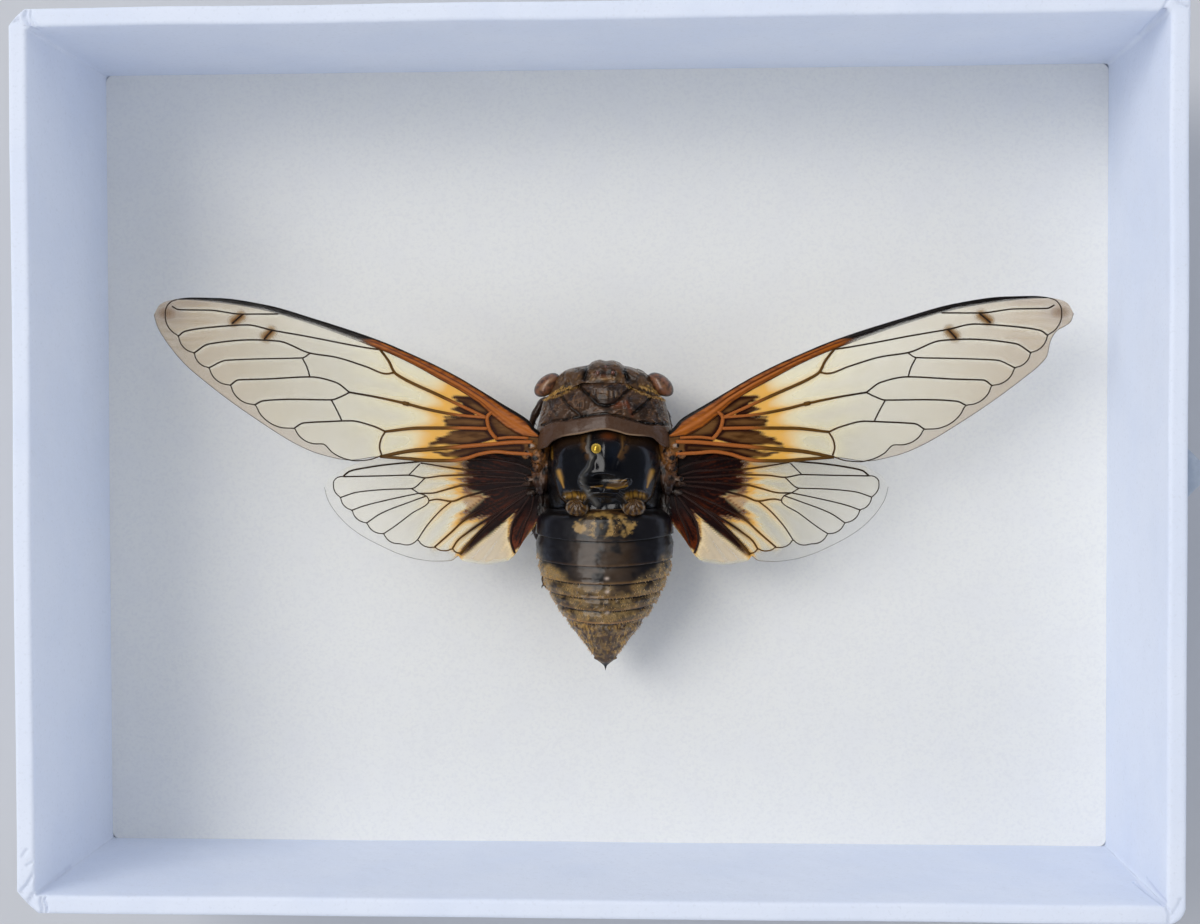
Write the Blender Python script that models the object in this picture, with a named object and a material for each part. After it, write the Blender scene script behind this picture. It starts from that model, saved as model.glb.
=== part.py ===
"""A dried cicada spread on a pin, in an open white box with a foam pad.

+X runs to the insect's right, +Y to its head, +Z up out of the box. The origin is the middle of the
box's underside. Every size below is in millimetres and is turned to metres when a mesh is made.
The insect is modelled about its own body axis and hangs from one empty.
"""

import math

import bmesh
import bpy
from mathutils import Matrix, Vector, geometry

MM = 0.001
GAP = 0.3
SHARP_ANGLE = 40.0
FLAT_ANGLE = 0.01

# Box
BOX_LENGTH = 160.0
BOX_WIDTH = 125.0
BOX_HEIGHT = 44.0
WALL = 2.6
BASE = 2.0
CORNER_ROUND = 1.2
INNER_CORNER_ROUND = 0.6
CRUSHED_CORNER = 2.6
FOAM_TOP = 11.0
FOAM_CORNER = 1.4

# Tab on the outside of the right wall
TAB_WIDTH = 9.2
TAB_REACH = 4.0
TAB_TOP = 38.0
TAB_THICKNESS = 2.0
TAB_CHAMFER = 0.8
TAB_CENTRE_Y = -1.7

# Pin
PIN_RADIUS = 0.3
PIN_X = -0.5
PIN_Y = 1.8
PIN_BOTTOM = 3.0
PIN_HEAD_RADIUS = 0.72
PIN_HEAD_HEIGHT = 37.5
PIN_HOLE_REACH = 12.0

# Insect: where its body axis stands in the box
SPECIMEN_X = 0.9
AXIS_HEIGHT = 22.5

# Body, about the axis: x across, y towards the head, z up
HEAD_FRONT = 13.9
FACE_BULGE = 0.75
HEAD_HALF_WIDTH = 8.2
HEAD_SWEEP = 1.3
NECK_Y = 11.5
NECK_SLOPE_START = 3.0
NECK_SLOPE = 0.46
COLLAR_Y = 4.4
COLLAR_SLOPE = 0.15
COLLAR_CORNER_START = 6.5
COLLAR_CORNER_LENGTH = 2.5
COLLAR_CORNER_DROP = 1.3
PRONOTUM_HALF_WIDTH = 10.2
THORAX_HALF_WIDTH = 8.7
THORAX_REAR = -7.4
ABDOMEN_FRONT = -7.7
ABDOMEN_DROOP = 0.09
SPINE_TIP = -31.7
TERGITE_STEP = 0.3

# Eyes
EYE_CENTRE = (8.35, 11.0, 1.2)
EYE_RADII = (2.25, 1.35, 1.7)
EYE_TURN = 40.0

# Wings: flat plates with raised veins
WING_THICKNESS = 0.4
RIB_HEIGHT = 0.35
FOREWING_LEVEL = 2.6
HINDWING_LEVEL = 0.5
RIGHT_FOREWING_STRETCH = 1.02
RIGHT_FOREWING_TURN = -0.6
OUTER_RIB = 0.28
BASE_RIB = 0.36

# Right forewing as (x outwards, y forwards)
FOREWING_OUTLINE = (
    (11.0, 5.2), (18.5, 9.9), (26.0, 14.0), (33.6, 17.6), (42.4, 20.6), (50.0, 22.9), (56.0, 24.0),
    (60.9, 24.1), (64.3, 23.6), (66.2, 22.4), (66.3, 20.6), (64.4, 17.1), (59.6, 12.2), (52.0, 6.5),
    (45.0, 2.0), (41.0, 0.6), (37.0, 0.0), (33.0, 0.4), (27.8, 0.0), (22.6, -0.2), (18.0, 0.7),
    (13.0, 0.6), (9.5, 0.0), (9.4, 1.1), (10.7, 1.2), (11.0, 2.2),
)  # fmt: skip
FOREWING_VEINS = (
    (0.95, ((10.0, 3.9), (16.9, 7.6), (22.0, 10.9), (27.5, 13.8), (33.4, 16.6))),
    (0.45, ((33.0, 17.0), (42.4, 20.3), (50.0, 22.6), (56.5, 23.7), (63.0, 23.6))),
    (OUTER_RIB, ((50.0, 22.6), (53.3, 21.6), (58.2, 22.2), (64.2, 22.7))),
    (0.4, ((53.3, 21.6), (54.9, 20.2))),
    (OUTER_RIB, ((33.4, 16.2), (40.5, 17.6), (48.9, 19.2), (54.9, 20.2), (62.9, 18.4))),
    (0.4, ((48.9, 19.2), (50.1, 17.9))),
    (OUTER_RIB, ((30.8, 12.9), (35.1, 13.8), (43.3, 15.8), (50.1, 17.9), (60.6, 15.9))),
    (OUTER_RIB, ((43.3, 15.8), (44.6, 15.1), (55.8, 14.9), (58.4, 13.7))),
    (OUTER_RIB, ((44.6, 15.1), (43.4, 12.3))),
    (OUTER_RIB, ((37.5, 10.0), (39.6, 11.5), (43.4, 12.3), (52.8, 12.1), (55.2, 11.1))),
    (OUTER_RIB, ((37.5, 10.0), (40.2, 8.9), (49.0, 9.0), (51.6, 8.2))),
    (OUTER_RIB, ((40.2, 8.9), (38.7, 5.9))),
    (OUTER_RIB, ((32.2, 4.2), (35.9, 5.6), (43.1, 5.7), (45.8, 4.7))),
    (BASE_RIB, ((17.0, 6.2), (29.1, 8.3), (37.5, 10.0))),
    (BASE_RIB, ((17.0, 6.2), (24.2, 9.5), (29.3, 11.9), (30.8, 12.9), (33.2, 16.4))),
    (BASE_RIB, ((15.8, 7.0), (17.0, 6.2), (16.8, 4.6), (15.8, 2.4))),
    (BASE_RIB, ((16.8, 4.6), (24.2, 4.7), (32.2, 4.2))),
    (BASE_RIB, ((32.2, 4.2), (33.1, 1.9), (32.9, 0.6))),
    (0.5, ((9.0, 0.6), (11.6, 1.8), (16.7, 2.3), (25.2, 1.6), (33.0, 0.5))),
    (OUTER_RIB, ((65.0, 23.0), (65.3, 21.0), (62.9, 18.3), (58.4, 13.7), (51.6, 8.1), (45.8, 4.7),
                 (41.6, 2.2), (37.5, 1.0), (33.0, 0.5))),
)  # fmt: skip

# Right hindwing
HINDWING_OUTLINE = (
    (9.4, -1.6), (16.0, 0.2), (26.0, 0.5), (34.9, 0.0), (39.5, -1.7), (41.7, -4.1), (40.2, -7.6),
    (36.1, -11.3), (30.6, -14.0), (25.1, -15.1), (22.6, -15.0), (21.7, -14.2), (21.0, -15.1),
    (17.8, -15.6), (14.2, -15.0), (12.6, -13.0), (11.2, -10.4), (9.9, -7.6), (9.1, -5.0),
)  # fmt: skip
HINDWING_VEINS = (
    (0.4, ((9.0, -2.6), (18.0, -0.7), (28.7, -0.5), (35.6, -1.2), (39.6, -2.9))),
    (OUTER_RIB, ((11.5, -3.0), (20.2, -2.3), (26.6, -2.7), (38.9, -2.6))),
    (OUTER_RIB, ((26.6, -2.7), (28.7, -4.4), (39.3, -5.4))),
    (OUTER_RIB, ((11.0, -3.6), (20.9, -3.8), (27.6, -5.0), (37.6, -7.5))),
    (OUTER_RIB, ((27.6, -5.0), (26.4, -5.6), (35.4, -9.4))),
    (OUTER_RIB, ((11.0, -4.0), (20.7, -5.4), (26.2, -6.1), (32.9, -11.0))),
    (OUTER_RIB, ((20.7, -5.4), (22.7, -6.2), (27.8, -11.9))),
    (OUTER_RIB, ((10.6, -4.4), (17.3, -7.0), (25.3, -13.2))),
    (0.4, ((10.2, -4.6), (16.1, -8.6), (21.5, -14.1))),
    (OUTER_RIB, ((10.0, -5.0), (13.4, -9.6), (13.4, -14.0))),
    (OUTER_RIB, ((39.2, -2.6), (40.4, -4.2), (37.4, -7.5), (32.6, -11.2), (28.4, -12.3), (24.0, -13.4),
                 (21.5, -14.1))),
)  # fmt: skip

# Legs as (x outwards, y, z, radius), from the body to the claw
FORELEG = (
    (3.0, 6.4, -7.7, 0.9), (5.2, 7.4, -8.2, 1.0), (8.0, 8.6, -7.9, 1.0), (9.4, 8.7, -7.0, 0.7),
    (10.3, 7.6, -6.2, 0.55), (11.2, 5.6, -6.2, 0.5), (11.5, 4.2, -6.8, 0.45), (11.0, 2.2, -8.4, 0.4),
    (9.4, 0.4, -10.2, 0.35), (8.6, -0.4, -10.6, 0.15),
)  # fmt: skip
MIDLEG = (
    (3.4, 0.4, -8.3, 0.85), (5.8, -0.8, -8.6, 0.85), (8.4, -2.4, -8.6, 0.7), (9.8, -4.2, -8.3, 0.5),
    (10.7, -7.2, -8.2, 0.45), (11.2, -10.2, -8.4, 0.42), (10.8, -12.2, -9.4, 0.35), (9.8, -13.8, -10.6, 0.15),
)  # fmt: skip
HINDLEG = (
    (3.2, -4.2, -8.2, 0.85), (5.2, -6.4, -8.7, 0.8), (7.0, -9.2, -8.9, 0.65), (7.9, -11.6, -8.8, 0.5),
    (8.6, -14.4, -8.6, 0.42), (9.2, -17.2, -8.2, 0.38), (9.7, -18.4, -7.4, 0.32), (9.6, -19.2, -6.6, 0.15),
)  # fmt: skip
TUCKED_LEGS = 0.84  # the right legs lie closer in, hidden under the body

ROSTRUM = ((0.0, 10.2, -7.3, 0.85), (0.0, 7.6, -7.9, 0.7), (0.0, 5.2, -8.2, 0.5), (0.0, 3.0, -8.3, 0.25))
ANTENNA = ((4.8, 13.3, -4.3, 0.26), (5.5, 13.1, -5.3, 0.2), (6.1, 12.6, -6.3, 0.15), (6.5, 12.0, -7.2, 0.12))

# Colours as they look in even light: hex, roughness, metallic
FINISHES = {
    "white_paper": ("dfe5f2", 0.7, 0.0),
    "foam": ("dadde0", 0.9, 0.0),
    "grey_board": ("a9b6c8", 0.7, 0.0),
    "steel": ("b9b6ae", 0.3, 1.0),
    "brass": ("d8b85a", 0.3, 1.0),
    "dark_chitin": ("2e211a", 0.3, 0.0),
    "black_chitin": ("12131a", 0.15, 0.0),
    "banded_chitin": ("4a3620", 0.35, 0.0),
    "eye": ("8a4a2a", 0.3, 0.0),
    "wing": ("cfc8b8", 0.3, 0.0),
}


def clear_scene():
    for obj in list(bpy.data.objects):
        bpy.data.objects.remove(obj)


def finish(name):
    """The named finish, as one material shared by every part that has it."""
    if name in bpy.data.materials:
        return bpy.data.materials[name]
    code, roughness, metallic = FINISHES[name]
    parts = [int(code[i : i + 2], 16) / 255 for i in (0, 2, 4)]
    linear = [c / 12.92 if c <= 0.04045 else ((c + 0.055) / 1.055) ** 2.4 for c in parts]
    material = bpy.data.materials.new(name)
    material.use_nodes = True
    shader = material.node_tree.nodes["Principled BSDF"]
    shader.inputs["Base Color"].default_value = (*linear, 1.0)
    shader.inputs["Roughness"].default_value = roughness
    shader.inputs["Metallic"].default_value = metallic
    return material


def add_object(name, data, material, parent=None):
    obj = bpy.data.objects.new(name, data)
    bpy.context.scene.collection.objects.link(obj)
    obj.parent = parent
    data.materials.append(finish(material))
    return obj


def add_mesh(name, bm, material, parent=None, smooth=True):
    """Turns a shape in millimetres into an object in metres with its faces pointing out."""
    bmesh.ops.scale(bm, vec=(MM, MM, MM), verts=bm.verts)
    bmesh.ops.recalc_face_normals(bm, faces=bm.faces)
    mesh = bpy.data.meshes.new(name)
    bm.to_mesh(mesh)
    bm.free()
    obj = add_object(name, mesh, material, parent)
    if smooth:
        mesh.shade_smooth()
        mesh.set_sharp_from_angle(angle=math.radians(SHARP_ANGLE))
    return obj


def add_cutter(name, bm, target):
    """A hidden shape that a Boolean takes out of its target. It shares the target's parent."""
    cutter = add_mesh(name, bm, "steel", target.parent, smooth=False)
    cutter.hide_render = True
    cutter.display_type = "WIRE"
    cut = target.modifiers.new(name, "BOOLEAN")
    cut.operation = "DIFFERENCE"
    cut.object = cutter
    return cutter


def ease(value):
    """0 below 0, 1 above 1, and a smooth rise between."""
    t = max(0.0, min(1.0, value))
    return t * t * (3 - 2 * t)


def block(length, width, bottom, top):
    bm = bmesh.new()
    bmesh.ops.create_cube(bm, size=1.0)
    bmesh.ops.scale(bm, vec=(length, width, top - bottom), verts=bm.verts)
    bmesh.ops.translate(bm, vec=(0, 0, (top + bottom) / 2), verts=bm.verts)
    return bm


def round_upright_edges(bm, radius, segments, wanted=lambda x, y: True):
    """Bevels the vertical edges of a block that stand where wanted(x, y) says."""
    edges = []
    for edge in bm.edges:
        a, b = (vert.co for vert in edge.verts)
        if abs(a.z - b.z) > 1.0 and wanted(a.x, a.y):
            edges.append(edge)
    bmesh.ops.bevel(
        bm, geom=edges, offset=radius, segments=segments, profile=0.5, affect="EDGES", material=-1
    )


def face_towards(bm, axis, direction):
    """The flat face that reaches furthest along one axis."""
    return max(bm.faces, key=lambda face: face.calc_center_median()[axis] * direction)


def make_tray():
    bm = block(BOX_LENGTH, BOX_WIDTH, 0.0, BOX_HEIGHT)
    top = face_towards(bm, 2, 1)
    bmesh.ops.inset_region(bm, faces=[top], thickness=WALL, use_even_offset=True)
    moved = bmesh.ops.extrude_face_region(bm, geom=[top, *top.edges])["geom"]
    sunk = [item for item in moved if isinstance(item, bmesh.types.BMVert)]
    bmesh.ops.translate(bm, vec=(0, 0, BASE - BOX_HEIGHT), verts=sunk)
    mid_wall = BOX_LENGTH / 2 - WALL / 2
    round_upright_edges(bm, INNER_CORNER_ROUND, 2, lambda x, y: abs(x) < mid_wall)
    round_upright_edges(bm, CRUSHED_CORNER, 2, lambda x, y: x < -mid_wall and y < 0)
    round_upright_edges(bm, CORNER_ROUND, 3, lambda x, y: abs(x) > mid_wall and (x > 0 or y > 0))
    return add_mesh("tray", bm, "white_paper")


def make_foam_pad():
    inside = (BOX_LENGTH - 2 * (WALL + GAP), BOX_WIDTH - 2 * (WALL + GAP))
    bm = block(*inside, BASE + GAP, FOAM_TOP)
    round_upright_edges(bm, FOAM_CORNER, 3)
    pad = add_mesh("foam_pad", bm, "foam")
    hole = bmesh.new()
    middle = (SPECIMEN_X + PIN_X, PIN_Y, PIN_BOTTOM - GAP + FOAM_TOP / 2)
    bmesh.ops.create_cone(
        hole, cap_ends=True, segments=16, radius1=PIN_RADIUS + GAP, radius2=PIN_RADIUS + GAP,
        depth=FOAM_TOP, matrix=Matrix.Translation(middle),
    )  # fmt: skip
    add_cutter("pin_hole_in_foam", hole, pad)
    return pad


def make_pull_tab():
    """A half octagon of board, flat against the outside of the right wall."""
    slope = TAB_REACH - TAB_CHAMFER
    wall_x = BOX_LENGTH / 2 + GAP
    upper = (
        (wall_x + TAB_REACH, TAB_WIDTH / 2 - TAB_REACH),
        (wall_x + slope, TAB_WIDTH / 2 - slope),
        (wall_x, TAB_WIDTH / 2),
    )
    corners = [(x, -y) for x, y in reversed(upper)] + list(upper)
    bm = bmesh.new()
    face = bm.faces.new([bm.verts.new((x, y + TAB_CENTRE_Y, TAB_TOP)) for x, y in corners])
    moved = bmesh.ops.extrude_face_region(bm, geom=[face], use_keep_orig=True)["geom"]
    lower = [item for item in moved if isinstance(item, bmesh.types.BMVert)]
    bmesh.ops.translate(bm, vec=(0, 0, -TAB_THICKNESS), verts=lower)
    return add_mesh("pull_tab", bm, "grey_board", smooth=False)


def pin_cylinder(radius, bottom, top, segments):
    """A round bar on the pin's line, in the insect's own frame."""
    bm = bmesh.new()
    middle = Matrix.Translation((PIN_X, PIN_Y, (bottom + top) / 2))
    bmesh.ops.create_cone(
        bm, cap_ends=True, segments=segments, radius1=radius, radius2=radius,
        depth=top - bottom, matrix=middle,
    )  # fmt: skip
    return bm


def make_pin(specimen):
    head_height = PIN_HEAD_HEIGHT - AXIS_HEIGHT
    shaft_top = head_height - PIN_HEAD_RADIUS - GAP
    shaft = pin_cylinder(PIN_RADIUS, PIN_BOTTOM - AXIS_HEIGHT, shaft_top, 12)
    add_mesh("pin_shaft", shaft, "steel", specimen)
    ball = bmesh.new()
    bmesh.ops.create_uvsphere(
        ball, u_segments=12, v_segments=8, radius=PIN_HEAD_RADIUS,
        matrix=Matrix.Translation((PIN_X, PIN_Y, head_height)),
    )  # fmt: skip
    add_mesh("pin_head", ball, "brass", specimen)


def closed_form(around, rows, place):
    """A ball of rings whose points are moved to place(row, angle). Its two poles close the ends."""
    bm = bmesh.new()
    bmesh.ops.create_uvsphere(bm, u_segments=around, v_segments=rows, radius=1.0)
    for vert in bm.verts:
        row = round(math.acos(max(-1.0, min(1.0, vert.co.z))) / math.pi * rows)
        vert.co = place(row, math.atan2(vert.co.y, vert.co.x))
    return bm


def power_curve(value, power):
    return math.copysign(abs(value) ** (2 / power), value)


def body_segment(name, material, specimen, rows, front, back, around=24, power=2.3, relief=None, swell=None):
    """One ring of the body.

    rows hold (share of the way from front to back, half width, rise, drop). front and back give y at
    a distance x from the axis, so that neighbours meet along one curve. relief adds height on top,
    and swell pushes the front end forwards.
    """

    def place(row, angle):
        share, half_width, rise, drop = rows[row]
        x = half_width * power_curve(math.cos(angle), power)
        up = power_curve(math.sin(angle), power)
        y = front(x) + (back(x) - front(x)) * share
        z = up * (rise if up > 0 else drop)
        if relief and up > 0 and rise > 2.0:
            z += relief(x, y) * ease(up * 1.5)
        if swell:
            y += swell(x, z) * (1 - ease(share / 0.4))
        return Vector((x, y, z))

    return add_mesh(name, closed_form(around, len(rows) - 1, place), material, specimen)


def neck(x):
    """The line where head and pronotum meet."""
    return NECK_Y - NECK_SLOPE * max(0.0, abs(x) - NECK_SLOPE_START)


def collar(x):
    """The pronotum's rear edge: shallow in the middle, drawn back at its corners."""
    corner = ease((abs(x) - COLLAR_CORNER_START) / COLLAR_CORNER_LENGTH)
    return COLLAR_Y - COLLAR_SLOPE * abs(x) - COLLAR_CORNER_DROP * corner


def head_front(x):
    return HEAD_FRONT - HEAD_SWEEP * (x / HEAD_HALF_WIDTH) ** 2


def bump(x, y, at_x, at_y, width, length):
    return math.exp(-(((x - at_x) / width) ** 2) - ((y - at_y) / length) ** 2)


def ridge(x, y, start, end, width):
    """1 on the line from start to end, fading to 0 beside it."""
    a, b, p = Vector(start), Vector(end), Vector((x, y))
    along = max(0.0, min(1.0, (p - a).dot(b - a) / (b - a).length_squared))
    return math.exp(-(((p - a - (b - a) * along).length / width) ** 2))


def make_head(specimen):
    w = HEAD_HALF_WIDTH
    rows = (
        (0.0, 0.0, 0.0, 0.0), (0.0, 0.22 * w, 0.6, 2.0), (0.0, 0.42 * w, 1.2, 3.8),
        (0.14, 0.68 * w, 2.6, 5.3), (0.36, 0.89 * w, 3.8, 6.1), (0.62, 0.98 * w, 4.4, 6.5),
        (0.85, w, 4.8, 6.4), (1.0, 0.97 * w, 4.8, 6.0), (1.0, 0.6 * w, 3.0, 3.8),
        (1.0, 0.0, 0.0, 0.0),
    )  # fmt: skip

    def crown(x, y):
        return 0.9 * bump(x, y, 0, 12.9, 2.4, 1.2) - 0.5 * bump(abs(x), y, 3.4, 12.4, 0.8, 1.2)

    def face(x, z):
        return FACE_BULGE * bump(x, z, 0.0, -1.6, 2.7, 3.6)

    head = body_segment(
        "head", "dark_chitin", specimen, rows, head_front, lambda x: neck(x) + GAP, power=2.6,
        relief=crown, swell=face,
    )  # fmt: skip
    for side, word in ((-1, "left"), (1, "right")):
        add_cutter("socket_" + word, eye_shape(side, GAP), head)
        add_mesh("eye_" + word, eye_shape(side, 0.0), "eye", specimen)
        antenna = [(side * x, y, z, r) for x, y, z, r in ANTENNA]
        add_limb("antenna_" + word, antenna, "dark_chitin", specimen, resolution=1)
    add_limb("rostrum", ROSTRUM, "dark_chitin", specimen)


def eye_shape(side, extra):
    x, y, z = EYE_CENTRE
    bm = bmesh.new()
    bmesh.ops.create_uvsphere(bm, u_segments=14, v_segments=10, radius=1.0)
    bmesh.ops.scale(bm, vec=[radius + extra for radius in EYE_RADII], verts=bm.verts)
    turn = Matrix.Rotation(math.radians(-side * EYE_TURN), 3, "Z")
    bmesh.ops.rotate(bm, cent=(0, 0, 0), matrix=turn, verts=bm.verts)
    bmesh.ops.translate(bm, vec=(side * x, y, z), verts=bm.verts)
    return bm


def make_pronotum(specimen):
    w = PRONOTUM_HALF_WIDTH
    rows = (
        (0.0, 0.0, 0.0, 0.0), (0.0, 0.5 * w, 2.6, 3.0), (0.0, 0.86 * w, 4.5, 5.0),
        (0.1, 0.9 * w, 5.0, 5.4), (0.22, 0.92 * w, 5.4, 5.6), (0.34, 0.94 * w, 5.7, 5.6),
        (0.46, 0.96 * w, 5.9, 5.6), (0.57, 0.98 * w, 6.0, 5.6), (0.66, 0.99 * w, 5.9, 5.6),
        (0.73, w, 6.6, 5.6), (0.88, w, 6.9, 5.6), (1.0, 0.99 * w, 6.6, 5.4),
        (1.0, 0.85 * w, 5.4, 5.0), (1.0, 0.45 * w, 2.6, 3.0), (1.0, 0.0, 0.0, 0.0),
    )  # fmt: skip

    def lobes(x, y):
        middle = 0.8 * bump(x, y, 0, 10.0, 3.0, 1.3)
        sides = 0.8 * bump(abs(x), y, 4.6, 8.3, 1.6, 1.1)
        return middle + sides - 0.6 * ridge(abs(x), y, (1.8, 7.6), (3.8, 10.2), 0.6)

    body_segment(
        "pronotum", "dark_chitin", specimen, rows, neck, collar, around=26, power=2.5, relief=lobes
    )


def make_mesothorax(specimen):
    w = THORAX_HALF_WIDTH
    rows = (
        (0.0, 0.0, 0.0, 0.0), (0.0, 0.5 * w, 3.0, 3.4), (0.0, 0.9 * w, 5.7, 6.2),
        (0.07, 0.95 * w, 6.3, 6.6), (0.17, 0.98 * w, 6.9, 6.8), (0.28, w, 7.3, 7.0),
        (0.4, w, 7.5, 7.0), (0.5, w, 7.5, 7.0), (0.58, w, 7.3, 7.0),
        (0.65, 0.99 * w, 7.0, 7.0), (0.72, 0.98 * w, 6.6, 6.9), (0.79, 0.97 * w, 6.2, 6.8),
        (0.86, 0.95 * w, 5.8, 6.7), (0.93, 0.93 * w, 5.5, 6.6), (1.0, 0.9 * w, 5.2, 6.4),
        (1.0, 0.5 * w, 3.0, 3.6), (1.0, 0.0, 0.0, 0.0),
    )  # fmt: skip

    def cross_ridge(x, y):
        arm = ridge(abs(x), y, (0.0, -4.4), (3.4, -7.4), 0.75)
        bar = ridge(abs(x), y, (0.0, -4.2), (3.2, -3.6), 0.6)
        hollow = bump(abs(x), y, 4.8, -5.6, 1.5, 1.2) + bump(x, y, 0.0, -6.8, 1.3, 1.0)
        return 1.3 * max(arm, bar) - 1.1 * hollow

    thorax = body_segment(
        "mesothorax", "black_chitin", specimen, rows, lambda x: collar(x) - 2 * GAP, lambda x: THORAX_REAR,
        around=30, power=2.3, relief=cross_ridge,
    )  # fmt: skip
    hole = pin_cylinder(PIN_RADIUS + GAP, -PIN_HOLE_REACH, PIN_HOLE_REACH, 12)
    add_cutter("pin_hole_in_thorax", hole, thorax)


def abdomen_rows():
    """(y, half width, rise, drop, axis height) of each ring: every plate ends in a small step."""
    plates = (
        (-7.7, 9.3, 5.2), (-11.4, 10.2, 6.5), (-15.1, 10.0, 6.5), (-17.7, 9.4, 6.1), (-19.8, 8.5, 5.6),
        (-21.6, 7.5, 4.9), (-23.5, 6.2, 4.1), (-27.0, 3.6, 2.7), (-30.1, 1.5, 1.3),
    )  # fmt: skip
    rows = [(ABDOMEN_FRONT, 0.0, 0.0, 0.0, 0.0), (ABDOMEN_FRONT, 4.6, 2.8, 3.0, 0.0)]
    rows.append((ABDOMEN_FRONT, 8.4, 4.8, 5.4, 0.0))
    for i, (start, wide, high) in enumerate(plates[:-1]):
        end, end_wide, end_high = plates[i + 1]
        middle = (start + end) / 2
        sag = -ABDOMEN_DROOP * (ABDOMEN_FRONT - middle)
        half = ((wide + end_wide) / 2, (high + end_high) / 2)
        if i < 6:
            rows.append((start - 0.35, wide - TERGITE_STEP * 0.6, high - TERGITE_STEP, high - 0.6, sag))
            rows.append((middle, half[0] + 0.1, half[1] + 0.1, half[1] - 0.2, sag))
            rows.append((end, end_wide + 0.1, end_high + 0.12, end_high - 0.2, sag))
        else:
            rows.append((start - 0.35, wide - TERGITE_STEP, high - TERGITE_STEP, high * 0.9, sag))
            rows.append((end, end_wide, end_high, end_high * 0.9, sag))
    tip_sag = -ABDOMEN_DROOP * (ABDOMEN_FRONT - SPINE_TIP)
    rows.append((-30.5, 0.7, 0.6, 0.6, tip_sag))
    rows.append((-31.2, 0.25, 0.25, 0.25, tip_sag))
    rows.append((SPINE_TIP, 0.0, 0.0, 0.0, tip_sag))
    return rows


def make_abdomen(specimen):
    rows = abdomen_rows()

    def place(row, angle):
        y, half_width, rise, drop, axis = rows[row]
        x = half_width * power_curve(math.cos(angle), 2.2)
        up = power_curve(math.sin(angle), 2.2)
        return Vector((x, y, axis + up * (rise if up > 0 else drop)))

    add_mesh("abdomen", closed_form(24, len(rows) - 1, place), "banded_chitin", specimen)


def band(points, half_width):
    """The corners of a strip of even width along a line of points, counted anticlockwise."""
    left, right = [], []
    for i, point in enumerate(points):
        along = (points[min(i + 1, len(points) - 1)] - points[max(i - 1, 0)]).normalized()
        across = Vector((-along.y, along.x)) * half_width
        left.append(point + across)
        right.append(point - across)
    return right + left[::-1]


def veined_plate(outline, veins, level):
    """A thin plate whose top face is divided along its veins, and the veins' faces raised as ribs."""
    loops = [[Vector(point) for point in reversed(outline)]]
    loops += [band([Vector(point) for point in line], half_width) for half_width, line in veins]
    corners, faces = [], []
    for loop in loops:
        faces.append(list(range(len(corners), len(corners) + len(loop))))
        corners += loop
    points, _, triangles, _, _, sources = geometry.delaunay_2d_cdt(corners, [], faces, 1, 1e-3)
    bm = bmesh.new()
    verts = [bm.verts.new((point.x, point.y, level + WING_THICKNESS / 2)) for point in points]
    ribs = []
    for triangle, source in zip(triangles, sources):
        if 0 not in source:
            continue
        face = bm.faces.new([verts[i] for i in triangle])
        if len(source) > 1:
            ribs.append(face)
    bmesh.ops.delete(bm, geom=[vert for vert in verts if not vert.link_faces], context="VERTS")
    moved = bmesh.ops.extrude_face_region(bm, geom=bm.faces[:], use_keep_orig=True)["geom"]
    lower = [item for item in moved if isinstance(item, bmesh.types.BMVert)]
    bmesh.ops.translate(bm, vec=(0, 0, -WING_THICKNESS), verts=lower)
    below = set(lower)
    underside = [edge for edge in bm.edges if below.issuperset(edge.verts)]
    bmesh.ops.dissolve_limit(bm, angle_limit=FLAT_ANGLE, verts=lower, edges=underside)
    rib_edges = list({edge for face in ribs for edge in face.edges})
    raised = bmesh.ops.extrude_face_region(bm, geom=ribs + rib_edges)["geom"]
    upper = [item for item in raised if isinstance(item, bmesh.types.BMVert)]
    bmesh.ops.translate(bm, vec=(0, 0, RIB_HEIGHT), verts=upper)
    return bm


def make_wings(specimen):
    for side, word in ((-1, "left"), (1, "right")):
        fore = veined_plate(FOREWING_OUTLINE, FOREWING_VEINS, FOREWING_LEVEL)
        hind = veined_plate(HINDWING_OUTLINE, HINDWING_VEINS, HINDWING_LEVEL)
        if side > 0:
            root = Vector(FOREWING_OUTLINE[0]).to_3d()
            turn = Matrix.Rotation(math.radians(RIGHT_FOREWING_TURN), 3, "Z")
            bmesh.ops.scale(fore, vec=(RIGHT_FOREWING_STRETCH, 1, 1), verts=fore.verts)
            bmesh.ops.rotate(fore, cent=root, matrix=turn, verts=fore.verts)
        for bm in (fore, hind):
            bmesh.ops.scale(bm, vec=(side, 1, 1), verts=bm.verts)
        add_mesh("forewing_" + word, fore, "wing", specimen, smooth=False)
        add_mesh("hindwing_" + word, hind, "wing", specimen, smooth=False)


def add_limb(name, points, material, specimen, resolution=2):
    """A round limb along points of (x, y, z, radius), with closed ends."""
    curve = bpy.data.curves.new(name, "CURVE")
    curve.dimensions = "3D"
    curve.bevel_depth = MM
    curve.bevel_resolution = resolution
    curve.use_fill_caps = True
    spline = curve.splines.new("POLY")
    spline.points.add(len(points) - 1)
    for target, (x, y, z, radius) in zip(spline.points, points):
        target.co = (x * MM, y * MM, z * MM, 1.0)
        target.radius = radius
    return add_object(name, curve, material, specimen)


def make_legs(specimen):
    for side, word in ((-1, "left"), (1, "right")):
        reach = 1.0 if side < 0 else TUCKED_LEGS
        for name, points in (("foreleg_", FORELEG), ("midleg_", MIDLEG), ("hindleg_", HINDLEG)):
            placed = [(side * reach * x, y, z, radius) for x, y, z, radius in points]
            add_limb(name + word, placed, "dark_chitin", specimen)


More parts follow.
